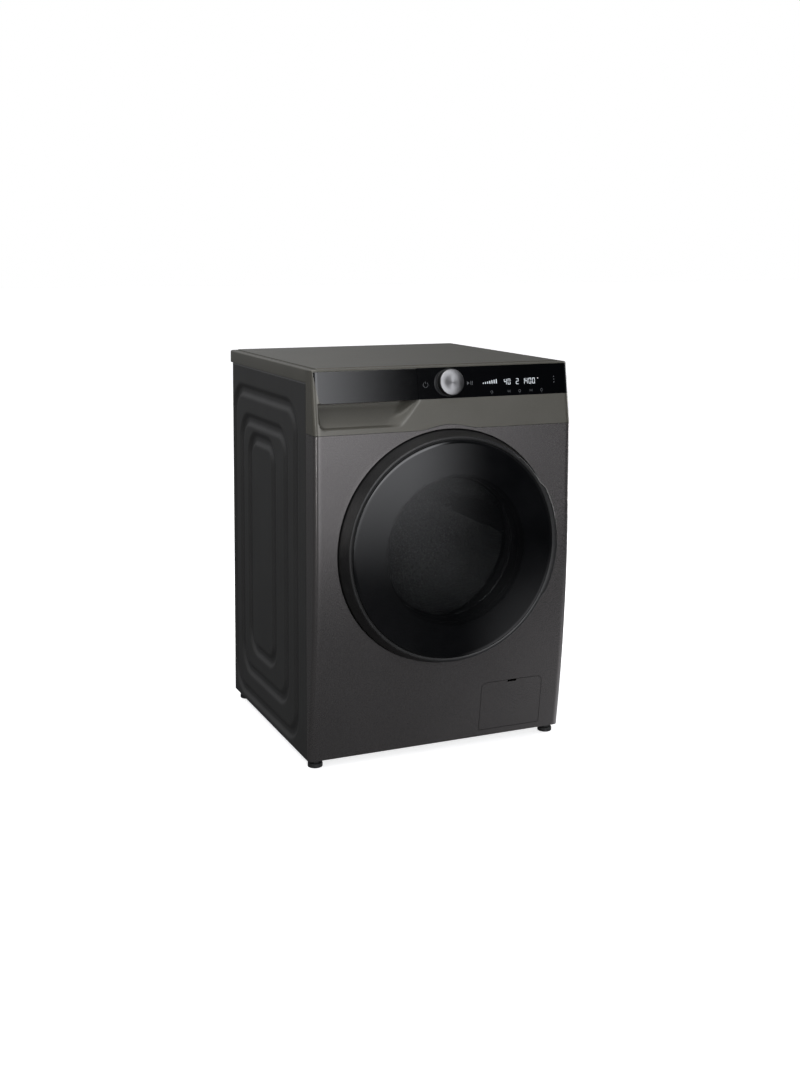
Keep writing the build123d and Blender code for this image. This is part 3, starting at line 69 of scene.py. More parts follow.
# ---------------------------------------------------------------- sizes of the drawn parts
FRONT_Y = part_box("front_panel")[0].y
DOOR_LOW, DOOR_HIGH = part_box("door_cover")
DOOR_X = (DOOR_LOW.x + DOOR_HIGH.x) / 2
DOOR_Z = (DOOR_LOW.z + DOOR_HIGH.z) / 2
COVER_RADIUS = (DOOR_HIGH.x - DOOR_LOW.x) / 2
DOOR_RADIUS = DOOR_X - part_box("door_ring")[0].x
RING_RADIUS = 241 * MM            # front edge of the door's ring
RIM_Y = FRONT_Y - 34 * MM         # front face of the ring
WINDOW_RADIUS = 160 * MM          # clear part of the tinted cover

SEAM_Z = 714 * MM                 # joint between front panel and console
CONSOLE_RISE = 136 * MM           # console face, from that joint to the worktop
CONSOLE_LEAN = 20 * MM            # how far it leans back over that height
LEAN = math.atan2(CONSOLE_LEAN, CONSOLE_RISE)
BAND_LOW_Z = 779 * MM
DIAL_Z = 812 * MM
WALL = 4.7 * MM                   # console's wall

SHEET = 1.2 * MM                  # sheet steel of the cabinet
SEAM_HALF_GAP = 0.4 * MM
CUT_REACH = 30 * MM               # cutters start this far in front of what they cut
SIDE_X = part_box("front_panel")[1].x
SEAM_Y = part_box("side_panel_left")[0].y
CORNER = 12 * MM                  # rounding of the vertical front edges
BOW_RADIUS = 3200 * MM            # the lower front curves back below this height
BOW_START = 520 * MM
BUMP_RISE = 11 * MM               # rise of the seam over the door
BUMP_HALF = 78 * MM
POCKET_RADIUS = 254 * MM          # round recess behind the door
POCKET_DEPTH = 20 * MM
MOUTH_RADIUS = 168 * MM
GLASS_DEPTH = 3.6 * MM            # seat of the black band in the console
DRAWER_SPLIT = -65 * MM           # joint between drawer front and console glass
DRAWER_LOW_LEFT = -286 * MM
DRAWER_HIGH_LEFT = -297 * MM
RECESS_LOW_Z = 725 * MM           # finger recess below the drawer front
RECESS_LEFT = -289 * MM
RECESS_RIGHT = -58 * MM
RECESS_RIGHT_LOW = -104 * MM

CHANNEL_DEPTH = 6 * MM
CHANNEL_WIDTH = 27 * MM
# Pressed channels of the side panels: centre y, centre z, width, height, corner radius.
CHANNELS = [
    (60 * MM, 401.5 * MM, 467 * MM, 747 * MM, 74 * MM),
    (63 * MM, 399 * MM, 345 * MM, 622 * MM, 66 * MM),
    (74 * MM, 410 * MM, 200 * MM, 524 * MM, 58 * MM),
]


# ---------------------------------------------------------------- mesh helpers
def make_object(name, vertices, faces, smooth=True):
    """New mesh object, its faces turned outwards."""
    mesh = bpy.data.meshes.new(name)
    mesh.from_pydata([tuple(v) for v in vertices], [], faces)
    mesh.validate()
    obj = bpy.data.objects.new(name, mesh)
    bpy.context.scene.collection.objects.link(obj)
    work = bmesh.new()
    work.from_mesh(mesh)
    bmesh.ops.remove_doubles(work, verts=work.verts, dist=1e-6)
    bmesh.ops.recalc_face_normals(work, faces=work.faces)
    work.to_mesh(mesh)
    work.free()
    for polygon in mesh.polygons:
        polygon.use_smooth = smooth
    return obj


def face_towards(obj, direction, rows=0, columns=0):
    """Flip a sheet whose faces (or the first rows x columns of them) look the other way on the whole."""
    count = rows * columns or len(obj.data.polygons)
    total = sum((p.normal * p.area for p in obj.data.polygons[:count]), Vector())
    if total.dot(Vector(direction)) < 0:
        obj.data.flip_normals()


def strip_faces(rows, columns, wrap_columns=False, wrap_rows=False):
    """Quads of a grid of rows by columns."""
    faces = []
    for i in range(rows if wrap_rows else rows - 1):
        for j in range(columns if wrap_columns else columns - 1):
            a, b = i * columns + j, i * columns + (j + 1) % columns
            c, d = ((i + 1) % rows) * columns + (j + 1) % columns, ((i + 1) % rows) * columns + j
            faces.append((a, b, c, d))
    return faces


def lathe(name, profile, segments, place, closed=True):
    """Turn (radius, along) points into a shape; place(radius, angle, along) gives the point."""
    vertices = []
    for radius, along in profile:
        for j in range(segments):
            vertices.append(place(radius, 2 * math.pi * j / segments, along))
    faces = strip_faces(len(profile), segments, wrap_columns=True, wrap_rows=closed)
    return make_object(name, vertices, faces)


def slab_faces(rows, columns):
    """Closed faces over an outer and an inner grid of points, outer first."""
    count = rows * columns
    outer = strip_faces(rows, columns)
    inner = [tuple(count + i for i in reversed(face)) for face in outer]
    edge = list(range(columns)) + [r * columns + columns - 1 for r in range(1, rows)]
    edge += [(rows - 1) * columns + c for c in range(columns - 2, -1, -1)]
    edge += [r * columns for r in range(rows - 2, 0, -1)]
    rim = [(b, a, a + count, b + count) for a, b in zip(edge, edge[1:] + edge[:1])]
    return outer + inner + rim


def boolean_cut(obj, cutter):
    """Cut one mesh out of another and drop the cutter."""
    cut = obj.modifiers.new("cut", "BOOLEAN")
    cut.operation = "DIFFERENCE"
    cut.solver = "EXACT"
    cut.object = cutter
    apply_modifiers(obj)
    bpy.data.objects.remove(cutter, do_unlink=True)


def apply_modifiers(obj):
    """Replace the mesh by its evaluated form."""
    bpy.context.view_layer.update()
    graph = bpy.context.evaluated_depsgraph_get()
    mesh = bpy.data.meshes.new_from_object(obj.evaluated_get(graph))
    obj.modifiers.clear()
    obj.data = mesh


def thicken(obj, thickness):
    """Give an open sheet its wall, inwards."""
    solid = obj.modifiers.new("sheet", "SOLIDIFY")
    solid.thickness = thickness
    solid.offset = -1.0
    solid.use_even_offset = True
    apply_modifiers(obj)


def prism(name, outline, place_low, place_high):
    """Closed prism between two placements of a flat outline."""
    count = len(outline)
    vertices = [place_low(*q) for q in outline] + [place_high(*q) for q in outline]
    faces = [tuple(range(count)), tuple(range(2 * count - 1, count - 1, -1))]
    faces += [(i, (i + 1) % count, count + (i + 1) % count, count + i) for i in range(count)]
    return make_object(name, vertices, faces, smooth=False)


def rounded_outline(x0, x1, z0, z1, radii, per_corner=8):
    """Rounded rectangle; radii for the low-left, low-right, high-right and high-left corners."""
    points = []
    corners = [(x0, z0, 1, 1, 180), (x1, z0, -1, 1, 270), (x1, z1, -1, -1, 0), (x0, z1, 1, -1, 90)]
    for (cx, cz, sx, sz, start), radius in zip(corners, radii):
        for k in range(per_corner + 1):
            a = math.radians(start + 90 * k / per_corner)
            points.append((cx + radius * (sx + math.cos(a)), cz + radius * (sz + math.sin(a))))
    return points


def rounded_loop(x_half, y0, y1, radius, per_corner, extra_y):
    """Points round a rectangle with rounded corners, with extra points at given y on its sides."""
    points = []
    corners = [(x_half - radius, y0 + radius, -90), (x_half - radius, y1 - radius, 0),
               (-x_half + radius, y1 - radius, 90), (-x_half + radius, y0 + radius, 180)]
    for index, (cx, cy, start) in enumerate(corners):
        for k in range(per_corner + 1):
            a = math.radians(start + 90 * k / per_corner)
            points.append((cx + radius * math.cos(a), cy + radius * math.sin(a)))
        if index == 0:
            points += [(x_half, y) for y in extra_y]
        if index == 2:
            points += [(-x_half, y) for y in reversed(extra_y)]
    return points


def on_door_axis(radius, angle, along):
    """Point round the door's axis, with along measured on Y."""
    return Vector((DOOR_X + radius * math.cos(angle), along, DOOR_Z + radius * math.sin(angle)))


def sharpen(obj, angle=35):
    """Smooth shading that breaks at edges sharper than the angle."""
    obj.data.set_sharp_from_angle(angle=math.radians(angle))


def smooth_step(t):
    """0 to 1 with soft ends."""
    t = min(max(t, 0.0), 1.0)
    return t * t * (3 - 2 * t)


# ---------------------------------------------------------------- finishes
def node_tree(name):
    """New material, its tree and its main shader."""
    material = bpy.data.materials.new(name)
    material.use_nodes = True
    tree = material.node_tree
    return material, tree, tree.nodes["Principled BSDF"]


def add_noise(tree, scale, detail=2.0, stretch=(1, 1, 1), roughness=0.5):
    """Noise in the object's own metres; returns its value socket."""
    place = tree.nodes.new("ShaderNodeTexCoord")
    mapping = tree.nodes.new("ShaderNodeMapping")
    mapping.inputs["Scale"].default_value = stretch
    noise = tree.nodes.new("ShaderNodeTexNoise")
    noise.inputs["Scale"].default_value = scale
    noise.inputs["Detail"].default_value = detail
    noise.inputs["Roughness"].default_value = roughness
    tree.links.new(place.outputs["Object"], mapping.inputs["Vector"])
    tree.links.new(mapping.outputs["Vector"], noise.inputs["Vector"])
    return noise.outputs["Fac"]


def map_range(tree, value, low, high, from_low=0.3, from_high=0.7):
    """Spread a value between two levels."""
    node = tree.nodes.new("ShaderNodeMapRange")
    node.inputs["From Min"].default_value = from_low
    node.inputs["From Max"].default_value = from_high
    node.inputs["To Min"].default_value = low
    node.inputs["To Max"].default_value = high
    tree.links.new(value, node.inputs["Value"])
    return node.outputs["Result"]


def mix_colours(tree, factor, first, second):
    """Mix of two colours, each a tuple or a socket."""
    node = tree.nodes.new("ShaderNodeMix")
    node.data_type = "RGBA"
    colour_inputs = [s for s in node.inputs if s.type == "RGBA"]
    for socket, value in zip(colour_inputs, (first, second)):
        if isinstance(value, tuple):
            socket.default_value = (*value, 1)
        else:
            tree.links.new(value, socket)
    tree.links.new(factor, node.inputs["Factor"])
    return [s for s in node.outputs if s.type == "RGBA"][0]


def finish(name, colour, roughness, metallic=0.0, shade=0.12, mottle=30, grain=1200, bump=0.04,
           stretch=(1, 1, 1), coat=0.0, rough_spread=0.05, fleck=0.0, fleck_scale=2500):
    """Procedural surface: broad shade changes, fine grain in roughness and relief, optional flecks."""
    material, tree, shader = node_tree(name)
    dark = tuple(c * (1 - shade) for c in colour)
    light = tuple(min(c * (1 + shade), 1.0) for c in colour)
    base = mix_colours(tree, map_range(tree, add_noise(tree, mottle, 3), 0, 1), dark, light)
    if fleck:
        spots = add_noise(tree, fleck_scale, 0)
        bright = tuple(min(c * (1 + fleck) + 0.01, 1.0) for c in colour)
        base = mix_colours(tree, map_range(tree, spots, 0, 1, 0.62, 0.74), base, bright)
    tree.links.new(base, shader.inputs["Base Color"])
    fine = add_noise(tree, grain, 2, stretch)
    rough = map_range(tree, fine, max(roughness - rough_spread, 0.02), roughness + rough_spread)
    tree.links.new(rough, shader.inputs["Roughness"])
    relief = tree.nodes.new("ShaderNodeBump")
    relief.inputs["Strength"].default_value = bump
    relief.inputs["Distance"].default_value = 0.0002
    tree.links.new(fine, relief.inputs["Height"])
    tree.links.new(relief.outputs["Normal"], shader.inputs["Normal"])
    shader.inputs["Metallic"].default_value = metallic
    shader.inputs["Coat Weight"].default_value = coat
    shader.inputs["Coat Roughness"].default_value = 0.06
    return material


def make_finishes():
    """One finish for each material slot of the record."""
    steel_brush = (1, 40, 1)
    return {
        "graphite_panel": finish("graphite_satin", (0.172, 0.163, 0.161), 0.27, 0.85, 0.04, 8,
                                 1800, 0.05, coat=0.2, fleck=0.4, fleck_scale=3500),
        "olive_plastic": finish("olive_grey_satin", (0.092, 0.088, 0.074), 0.36, 0.35, 0.05, 12,
                                1600, 0.08, coat=0.15, fleck=0.35, fleck_scale=3200),
        "side_steel": finish("painted_side", (0.026, 0.026, 0.0255), 0.42, 0.0, 0.08, 10, 900, 0.10),
        "zinc_steel": finish("zinc_coat", (0.46, 0.47, 0.48), 0.38, 0.9, 0.22, 60, 500, 0.06,
                             rough_spread=0.12),
        "black_glass": finish("black_gloss_glass", (0.0016, 0.0018, 0.0024), 0.05, 0.0, 0.2, 8, 60,
                              0.002, rough_spread=0.012),
        "black_plastic": finish("black_moulded", (0.012, 0.012, 0.012), 0.30, 0.0, 0.2, 40, 1800, 0.12),
        "matte_black": finish("matte_black", (0.016, 0.016, 0.016), 0.62, 0.0, 0.2, 50, 1400, 0.25),
        "grey_plastic": finish("grey_moulded", (0.16, 0.165, 0.17), 0.45, 0.0, 0.08, 40, 1500, 0.15),
        "white_plastic": finish("white_moulded", (0.62, 0.62, 0.60), 0.42, 0.0, 0.05, 40, 1500, 0.12),
        "rubber_grey": finish("grey_rubber", (0.20, 0.205, 0.21), 0.55, 0.0, 0.10, 60, 1800, 0.20),
        "rubber_black": finish("black_rubber", (0.014, 0.014, 0.014), 0.70, 0.0, 0.25, 60, 1600, 0.3),
        "stainless": finish("brushed_stainless", (0.60, 0.60, 0.59), 0.24, 1.0, 0.06, 20, 260, 0.05,
                            stretch=steel_brush, rough_spread=0.07),
        "aluminium_cast": finish("cast_aluminium", (0.52, 0.52, 0.53), 0.5, 0.9, 0.12, 120, 700, 0.3),
        "aluminium_dial": spun_finish(),
        "clear_glass": glass_finish(),
        "smoked_cover": cover_finish(),
        "concrete": finish("cast_concrete", (0.33, 0.32, 0.30), 0.85, 0.0, 0.25, 180, 700, 0.5),
        "circuit_board": finish("green_board", (0.02, 0.13, 0.05), 0.4, 0.0, 0.3, 500, 1500, 0.1),
        "brass": finish("turned_brass", (0.70, 0.48, 0.20), 0.28, 1.0, 0.08, 80, 1200, 0.05),
    }


def spun_finish():
    """Aluminium turned on a lathe: fine rings that stretch the highlights into cones."""
    material = finish("spun_aluminium", (0.25, 0.25, 0.255), 0.34, 1.0, 0.05, 60, 2500, 0.03)
    tree = material.node_tree
    shader = tree.nodes["Principled BSDF"]
    tangent = tree.nodes.new("ShaderNodeTangent")
    tangent.direction_type = "RADIAL"
    tangent.axis = "Y"
    tree.links.new(tangent.outputs["Tangent"], shader.inputs["Tangent"])
    shader.inputs["Anisotropic"].default_value = 0.85
    return material


def glass_finish():
    """Clear glass of the door bowl, with a faint waviness."""
    material, tree, shader = node_tree("door_bowl_glass")
    fine = add_noise(tree, 25, 2)
    tree.links.new(mix_colours(tree, map_range(tree, fine, 0, 1), (0.93, 0.96, 0.96), (0.98, 1.0, 1.0)),
                   shader.inputs["Base Color"])
    tree.links.new(map_range(tree, fine, 0.02, 0.05), shader.inputs["Roughness"])
    shader.inputs["Transmission Weight"].default_value = 1.0
    shader.inputs["IOR"].default_value = 1.15
    relief = tree.nodes.new("ShaderNodeBump")
    relief.inputs["Strength"].default_value = 0.05
    relief.inputs["Distance"].default_value = 0.001
    tree.links.new(fine, relief.inputs["Height"])
    tree.links.new(relief.outputs["Normal"], shader.inputs["Normal"])
    return material


def radius_from_axis(tree):
    """Distance from the door's axis, in metres."""
    place = tree.nodes.new("ShaderNodeTexCoord")
    shift = tree.nodes.new("ShaderNodeVectorMath")
    shift.operation = "SUBTRACT"
    shift.inputs[1].default_value = (DOOR_X, 0, DOOR_Z)
    flat = tree.nodes.new("ShaderNodeVectorMath")
    flat.operation = "MULTIPLY"
    flat.inputs[1].default_value = (1, 0, 1)
    length = tree.nodes.new("ShaderNodeVectorMath")
    length.operation = "LENGTH"
    tree.links.new(place.outputs["Object"], shift.inputs[0])
    tree.links.new(shift.outputs[0], flat.inputs[0])
    tree.links.new(flat.outputs[0], length.inputs[0])
    return length.outputs["Value"]


def cover_finish():
    """Tinted acrylic: black near the rim, see-through over the window."""
    material, tree, shader = node_tree("tinted_cover")
    fine = add_noise(tree, 18, 3)
    tree.links.new(mix_colours(tree, map_range(tree, fine, 0, 1), (0.0035, 0.0038, 0.0042),
                               (0.0060, 0.0062, 0.0068)), shader.inputs["Base Color"])
    tree.links.new(map_range(tree, fine, 0.035, 0.06), shader.inputs["Roughness"])
    fade = 3 * MM
    clear = map_range(tree, radius_from_axis(tree), 0.60, 1.0, WINDOW_RADIUS - fade, WINDOW_RADIUS + fade)
    tree.links.new(clear, shader.inputs["Alpha"])
    shader.inputs["IOR"].default_value = 1.5
    return material


# ---------------------------------------------------------------- pieces
def ring_bulge(angle):
    """Share of the handle bulge at an angle round the door, 0 to 1."""
    low, high = math.radians(-31), math.radians(33)
    turn = (angle + math.pi) % (2 * math.pi) - math.pi
    edge = math.radians(5)
    return smooth_step((turn - low) / edge) * smooth_step((high - turn) / edge)


def make_door_ring(finishes):
    """Ring of the door: a taper towards the front, a fine rounded edge and the grip bulge."""
    back = FRONT_Y + 15 * MM
    wall = 4 * MM
    edge = 2.6 * MM
    profile = [(DOOR_RADIUS - wall, back), (DOOR_RADIUS - 0.6 * MM, back),
               (DOOR_RADIUS, back - 0.6 * MM), (DOOR_RADIUS, FRONT_Y - 3 * MM)]
    steps = 8
    for i in range(1, steps + 1):
        t = i / steps
        profile.append((DOOR_RADIUS - (DOOR_RADIUS - RING_RADIUS - edge * 0.3) * t,
                        FRONT_Y - 3 * MM - (31 * MM - edge) * t))
    for i in range(1, 7):
        a = math.pi / 2 * i / 6
        profile.append((RING_RADIUS - edge * 0.7 + edge * math.cos(a), RIM_Y + edge - edge * math.sin(a)))
    profile += [(RING_RADIUS - 6 * MM, RIM_Y), (RING_RADIUS - 7.4 * MM, RIM_Y + 0.5 * MM),
                (RING_RADIUS - 8 * MM, RIM_Y + 1.6 * MM), (RING_RADIUS - 8 * MM, RIM_Y + 6 * MM),
                (RING_RADIUS - 6 * MM, RIM_Y + 8 * MM), (DOOR_RADIUS - wall, FRONT_Y)]

    def place(radius, angle, along):
        forward = smooth_step((FRONT_Y - 2 * MM - along) / (30 * MM))
        outer = smooth_step((radius - (RING_RADIUS - 6 * MM)) / (5 * MM))
        return on_door_axis(radius + 5 * MM * ring_bulge(angle) * forward * outer, angle, along)

    ring = lathe("door_ring_shell", profile, 288, place)
    sharpen(ring, 40)
    ring.data.materials.append(finishes["black_plastic"])
    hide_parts("door_ring")
    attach(ring, "door")


def make_door_cover(finishes):
    """Domed tinted cover."""
    rise = RIM_Y - DOOR_LOW.y
    thick = 4 * MM
    sphere = (COVER_RADIUS**2 + rise**2) / (2 * rise)
    steps = 40

    def dome(radius):
        return RIM_Y + (sphere - rise) - math.sqrt(sphere**2 - radius**2)

    edge = 1.2 * MM
    profile = []
    for i in range(1, steps + 1):
        radius = (COVER_RADIUS - edge) * i / steps
        profile.append((radius, dome(radius)))
    profile.append((COVER_RADIUS - edge * 0.3, dome(COVER_RADIUS) + edge * 0.3))
    profile.append((COVER_RADIUS, dome(COVER_RADIUS) + edge))
    profile.append((COVER_RADIUS, RIM_Y + thick))
    for i in range(steps, 0, -1):
        radius = (COVER_RADIUS - edge) * i / steps
        profile.append((radius, dome(radius) + thick))
    segments = 192
    vertices = [on_door_axis(r, 2 * math.pi * j / segments, y) for r, y in profile for j in range(segments)]
    faces = strip_faces(len(profile), segments, wrap_columns=True)
    first = len(vertices)
    vertices += [on_door_axis(0, 0, dome(0)), on_door_axis(0, 0, dome(0) + thick)]
    last_row = (len(profile) - 1) * segments
    for j in range(segments):
        k = (j + 1) % segments
        faces.append((first, k, j))
        faces.append((first + 1, last_row + j, last_row + k))
    cover = make_object("door_dome", vertices, faces)
    sharpen(cover, 50)
    cover.data.materials.append(finishes["smoked_cover"])
    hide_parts("door_cover")
    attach(cover, "door")


def channel_depth_at(y, z):
    """Depth of the pressed channels at a point of a side panel."""
    deepest = 0.0
    for y_mid, z_mid, wide, tall, radius in CHANNELS:
        half_w, half_h = (wide - CHANNEL_WIDTH) / 2, (tall - CHANNEL_WIDTH) / 2
        round_r = radius - CHANNEL_WIDTH / 2
        u = abs(y - y_mid) - (half_w - round_r)
        v = abs(z - z_mid) - (half_h - round_r)
        off = math.hypot(max(u, 0), max(v, 0)) + min(max(u, v), 0) - round_r
        reach = CHANNEL_WIDTH / 2 + 4 * MM
        if abs(off) < reach:
            share = 0.5 + 0.5 * math.cos(math.pi * smooth_step((abs(off) - 3 * MM) / (reach - 3 * MM)))
            deepest = max(deepest, CHANNEL_DEPTH * share)
    return deepest


def make_side_panel(finishes, node, side):
    """Side panel with soft-edged pressed channels and a rolled rear edge."""
    low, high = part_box(node)
    outer = high.x if side > 0 else low.x
    y0, y1, z0, z1 = low.y, high.y, low.z, high.z
    step = 4 * MM
    columns = int(round((y1 - y0) / step)) + 1
    rows = int(round((z1 - z0) / step)) + 1
    bend = 3 * MM
    flange = 13 * MM
    vertices = []
    for i in range(rows):
        z = z0 + (z1 - z0) * i / (rows - 1)
        line = [(outer - side * flange, y0 + bend), (outer - side * bend, y0),
                (outer - side * bend * 0.3, y0 + bend * 0.3)]
        for j in range(columns):
            y = y0 + bend + (y1 - y0 - 2 * bend) * j / (columns - 1)
            line.append((outer - side * channel_depth_at(y, z), y))
        line += [(outer - side * bend * 0.3, y1 - bend * 0.3), (outer - side * bend, y1),
                 (outer - side * flange, y1)]
        vertices += [Vector((x, y, z)) for x, y in line]
    faces = strip_faces(rows, columns + 6)
    panel = make_object(node + "_pressing", vertices, faces)
    face_towards(panel, (side, 0, 0))
    solid = panel.modifiers.new("sheet", "SOLIDIFY")
    solid.thickness = 1.2 * MM
    solid.offset = -1.0
    panel.data.materials.append(finishes["side_steel"])
    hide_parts(node)
    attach(panel, "cabinet")


def make_worktop(finishes):
    """Worktop with a rounded rim, a fine groove inside it and a slightly crowned panel."""
    low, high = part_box("worktop")
    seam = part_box("side_panel_left")[0].y
    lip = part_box("console_fascia")[1].z + 0.3 * MM
    top = high.z
    corner = 12 * MM
    extra = [seam - 0.2 * MM, seam + 0.3 * MM]
    bead = 5 * MM
    rim = 14                      # width of the rounded rim, in millimetres

    def skirt_low(y):
        return lip if y < seam else low.z

    sections = [(rim * MM, lambda y: top - 5.2 * MM), (rim * MM, skirt_low),
                (0.6 * MM, skirt_low), (0.0, lambda y: skirt_low(y) + 0.6 * MM)]
    rim_top = top - 2.2 * MM
    for k in range(0, 7):
        a = math.pi / 2 * k / 6
        inset = bead * (1 - math.cos(a))
        z = rim_top - (bead - 1.5 * MM) * (1 - math.sin(a))
        sections.append((inset, lambda y, z=z: z))
    for inset, drop in ((rim - 2.0, 2.2), (rim - 0.8, 2.7), (rim - 0.2, 4.0), (rim + 1.6, 4.0),
                        (rim + 2.0, 1.2), (rim + 2.4, 0.5), (rim + 3.2, 0.1), (rim + 6, 0.0)):
        sections.append((inset * MM, lambda y, drop=drop: top - drop * MM))
    vertices = []
    count = 0
    for inset, level in sections:
        radius = max(corner - inset, 2 * MM)
        loop = rounded_loop(high.x - inset, low.y + inset, high.y - inset, radius, 6, extra)
        count = len(loop)
        vertices += [Vector((x, y, level(y))) for x, y in loop]
    faces = strip_faces(len(sections), count, wrap_columns=True)
    faces.append(tuple(range(count)))
    last = (len(sections) - 1) * count
    faces.append(tuple(reversed(range(last, last + count))))
    worktop = make_object("worktop_shell", vertices, faces)
    sharpen(worktop, 30)
    worktop.data.materials.append(finishes["olive_plastic"])
    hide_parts("worktop")
    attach(worktop, "cabinet")


def bow(z):
    """Distance of the front behind its front-most plane at height z."""
    drop = max(BOW_START - z, 0.0)
    return BOW_RADIUS - math.sqrt(BOW_RADIUS**2 - drop**2)


def seam_rise(x):
    """Rise of the joint between front panel and console."""
    t = min(abs(x - DOOR_X) / BUMP_HALF, 1.0)
    return BUMP_RISE * 0.5 * (1 + math.cos(math.pi * t))


def plan_line(step, fine=None):
    """Points (x, distance behind the front) round the front: side, corner, face, corner, side.

    fine is (from x, to x, step) of a stretch with closer points.
    """
    points = []
    sides = 12
    arc = 8
    depth = SEAM_Y - FRONT_Y
    for i in range(sides):
        points.append((-SIDE_X, depth + (CORNER - depth) * i / sides))
    for i in range(arc):
        a = math.pi / 2 * i / arc
        points.append((-SIDE_X + CORNER - CORNER * math.cos(a), CORNER - CORNER * math.sin(a)))
    x = -SIDE_X + CORNER
    while x < SIDE_X - CORNER - 1e-6:
        points.append((x, 0.0))
        x += fine[2] if fine and fine[0] < x < fine[1] else step
    points.append((SIDE_X - CORNER, 0.0))
    left = [q for q in points if q[0] < -SIDE_X + CORNER - 1e-9]
    return points + [(-q[0], q[1]) for q in reversed(left)]


def flap_outline(grow):
    """Outline of the filter flap in (x, z), grown all round, nearly square at the bottom."""
    low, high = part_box("filter_flap")
    radii = (2 * MM + grow, 2 * MM + grow, 12 * MM + grow, 12 * MM + grow)
    return rounded_outline(low.x - grow, high.x + grow, low.z - grow, high.z + grow,
                           [max(r, 1 * MM) for r in radii])


def make_front_panel(finishes):
    """Bowed front skin with rounded edges, the round recess and the flap's opening."""
    low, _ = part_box("front_panel")
    line = plan_line(4 * MM)
    rows = 150
    vertices = []
    for i in range(rows):
        for x, back in line:
            top = SEAM_Z - SEAM_HALF_GAP + seam_rise(x)
            z = low.z + (top - low.z) * i / (rows - 1)
            share = 1 - back / (SEAM_Y - FRONT_Y)
            vertices.append(Vector((x, FRONT_Y + back + bow(z) * min(share * 1.3, 1.0), z)))
    panel = make_object("front_skin", vertices, strip_faces(rows, len(line)))
    face_towards(panel, (0, -1, 0))
    thicken(panel, SHEET)
    segments = 256
    disc = [(DOOR_X + POCKET_RADIUS * math.cos(2 * math.pi * k / segments),
             DOOR_Z + POCKET_RADIUS * math.sin(2 * math.pi * k / segments)) for k in range(segments)]

    def at(y):
        return lambda x, z: Vector((x, y, z))

    cut_end = FRONT_Y + 60 * MM
    boolean_cut(panel, prism("cutter", disc, at(FRONT_Y - CUT_REACH), at(FRONT_Y + 40 * MM)))
    boolean_cut(panel, prism("cutter", flap_outline(1 * MM), at(FRONT_Y - CUT_REACH), at(cut_end)))
    for polygon in panel.data.polygons:
        polygon.use_smooth = True
    sharpen(panel, 30)
    panel.data.materials.append(finishes["graphite_panel"])
    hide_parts("front_panel")
    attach(panel, "cabinet")


def make_door_recess(finishes):
    """Round recess behind the door, from the skin to the mouth."""
    floor = FRONT_Y + POCKET_DEPTH
    edge = 0.6 * MM
    outline = [(POCKET_RADIUS, FRONT_Y + edge), (POCKET_RADIUS, floor - 2 * MM),
               (POCKET_RADIUS - 0.6 * MM, floor - 0.6 * MM),
               (POCKET_RADIUS - 2 * MM, floor), (MOUTH_RADIUS + 3 * MM, floor),
               (MOUTH_RADIUS + 0.9 * MM, floor + 0.9 * MM), (MOUTH_RADIUS, floor + 3 * MM),
               (MOUTH_RADIUS, floor + 12 * MM), (MOUTH_RADIUS + SHEET, floor + 12 * MM),
               (MOUTH_RADIUS + SHEET, floor + SHEET + 2 * MM), (MOUTH_RADIUS + 3 * MM, floor + SHEET),
               (POCKET_RADIUS + SHEET, floor + SHEET), (POCKET_RADIUS + SHEET, FRONT_Y + edge)]

    def place(radius, angle, along):
        spot = on_door_axis(radius, angle, along)
        spot.y = max(spot.y, FRONT_Y + bow(spot.z) + edge)
        return spot

    recess = lathe("door_recess", outline, 192, place)
    sharpen(recess, 40)
    recess.data.materials.append(finishes["graphite_panel"])
    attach(recess, "cabinet")


def make_flap_ledge(finishes):
    """Ledge that the filter flap closes against."""
    ledge_y = FRONT_Y + bow(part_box("filter_flap")[0].z) + 7 * MM
    width = 8 * MM
    outer, inner = flap_outline(width), flap_outline(-width)
    back_y = ledge_y + SHEET
    rings = ((outer, ledge_y), (inner, ledge_y), (inner, back_y), (outer, back_y))
    vertices = [Vector((x, y, z)) for ring, y in rings for x, z in ring]
    faces = strip_faces(len(rings), len(outer), wrap_columns=True, wrap_rows=True)
    ledge = make_object("flap_ledge", vertices, faces)
    sharpen(ledge, 30)
    ledge.data.materials.append(finishes["graphite_panel"])
    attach(ledge, "cabinet")


def console_point(x, v, depth=0.0):
    """Point on the leaning console face, v up the slope, depth behind it."""
    return Vector((x, FRONT_Y + v * math.sin(LEAN) + depth * math.cos(LEAN),
                   SEAM_Z + v * math.cos(LEAN) - depth * math.sin(LEAN)))


def up_slope(z):
    """Distance up the console's slope at height z."""
    return (z - SEAM_Z) / math.cos(LEAN)


def recess_inside(x, v):
    """How far a console point lies inside the finger recess from its side and bottom edges."""
    low, high = up_slope(RECESS_LOW_Z), up_slope(BAND_LOW_Z)
    radius = 15 * MM
    t = (v - low) / (high - low)
    right = RECESS_RIGHT_LOW + (RECESS_RIGHT - RECESS_RIGHT_LOW) * t
    from_left, from_low = x - RECESS_LEFT, v - low
    corner = min(from_left, from_low)
    if from_left < radius and from_low < radius:
        corner = radius - math.hypot(radius - from_left, radius - from_low)
    return corner, (right - x)


def recess_depth(x, v):
    """Depth of the finger recess: deepest under the drawer front, running out towards its edges."""
    inside, from_right = recess_inside(x, v)
    if inside <= 0 or from_right <= 0:
        return 0.0
    low, high = up_slope(RECESS_LOW_Z), up_slope(BAND_LOW_Z)
    t = smooth_step((v - low) / (high - low))
    deep = (7 + 15 * t) * MM
    return deep * smooth_step(inside / (5 * MM)) * smooth_step(from_right / (42 * MM))


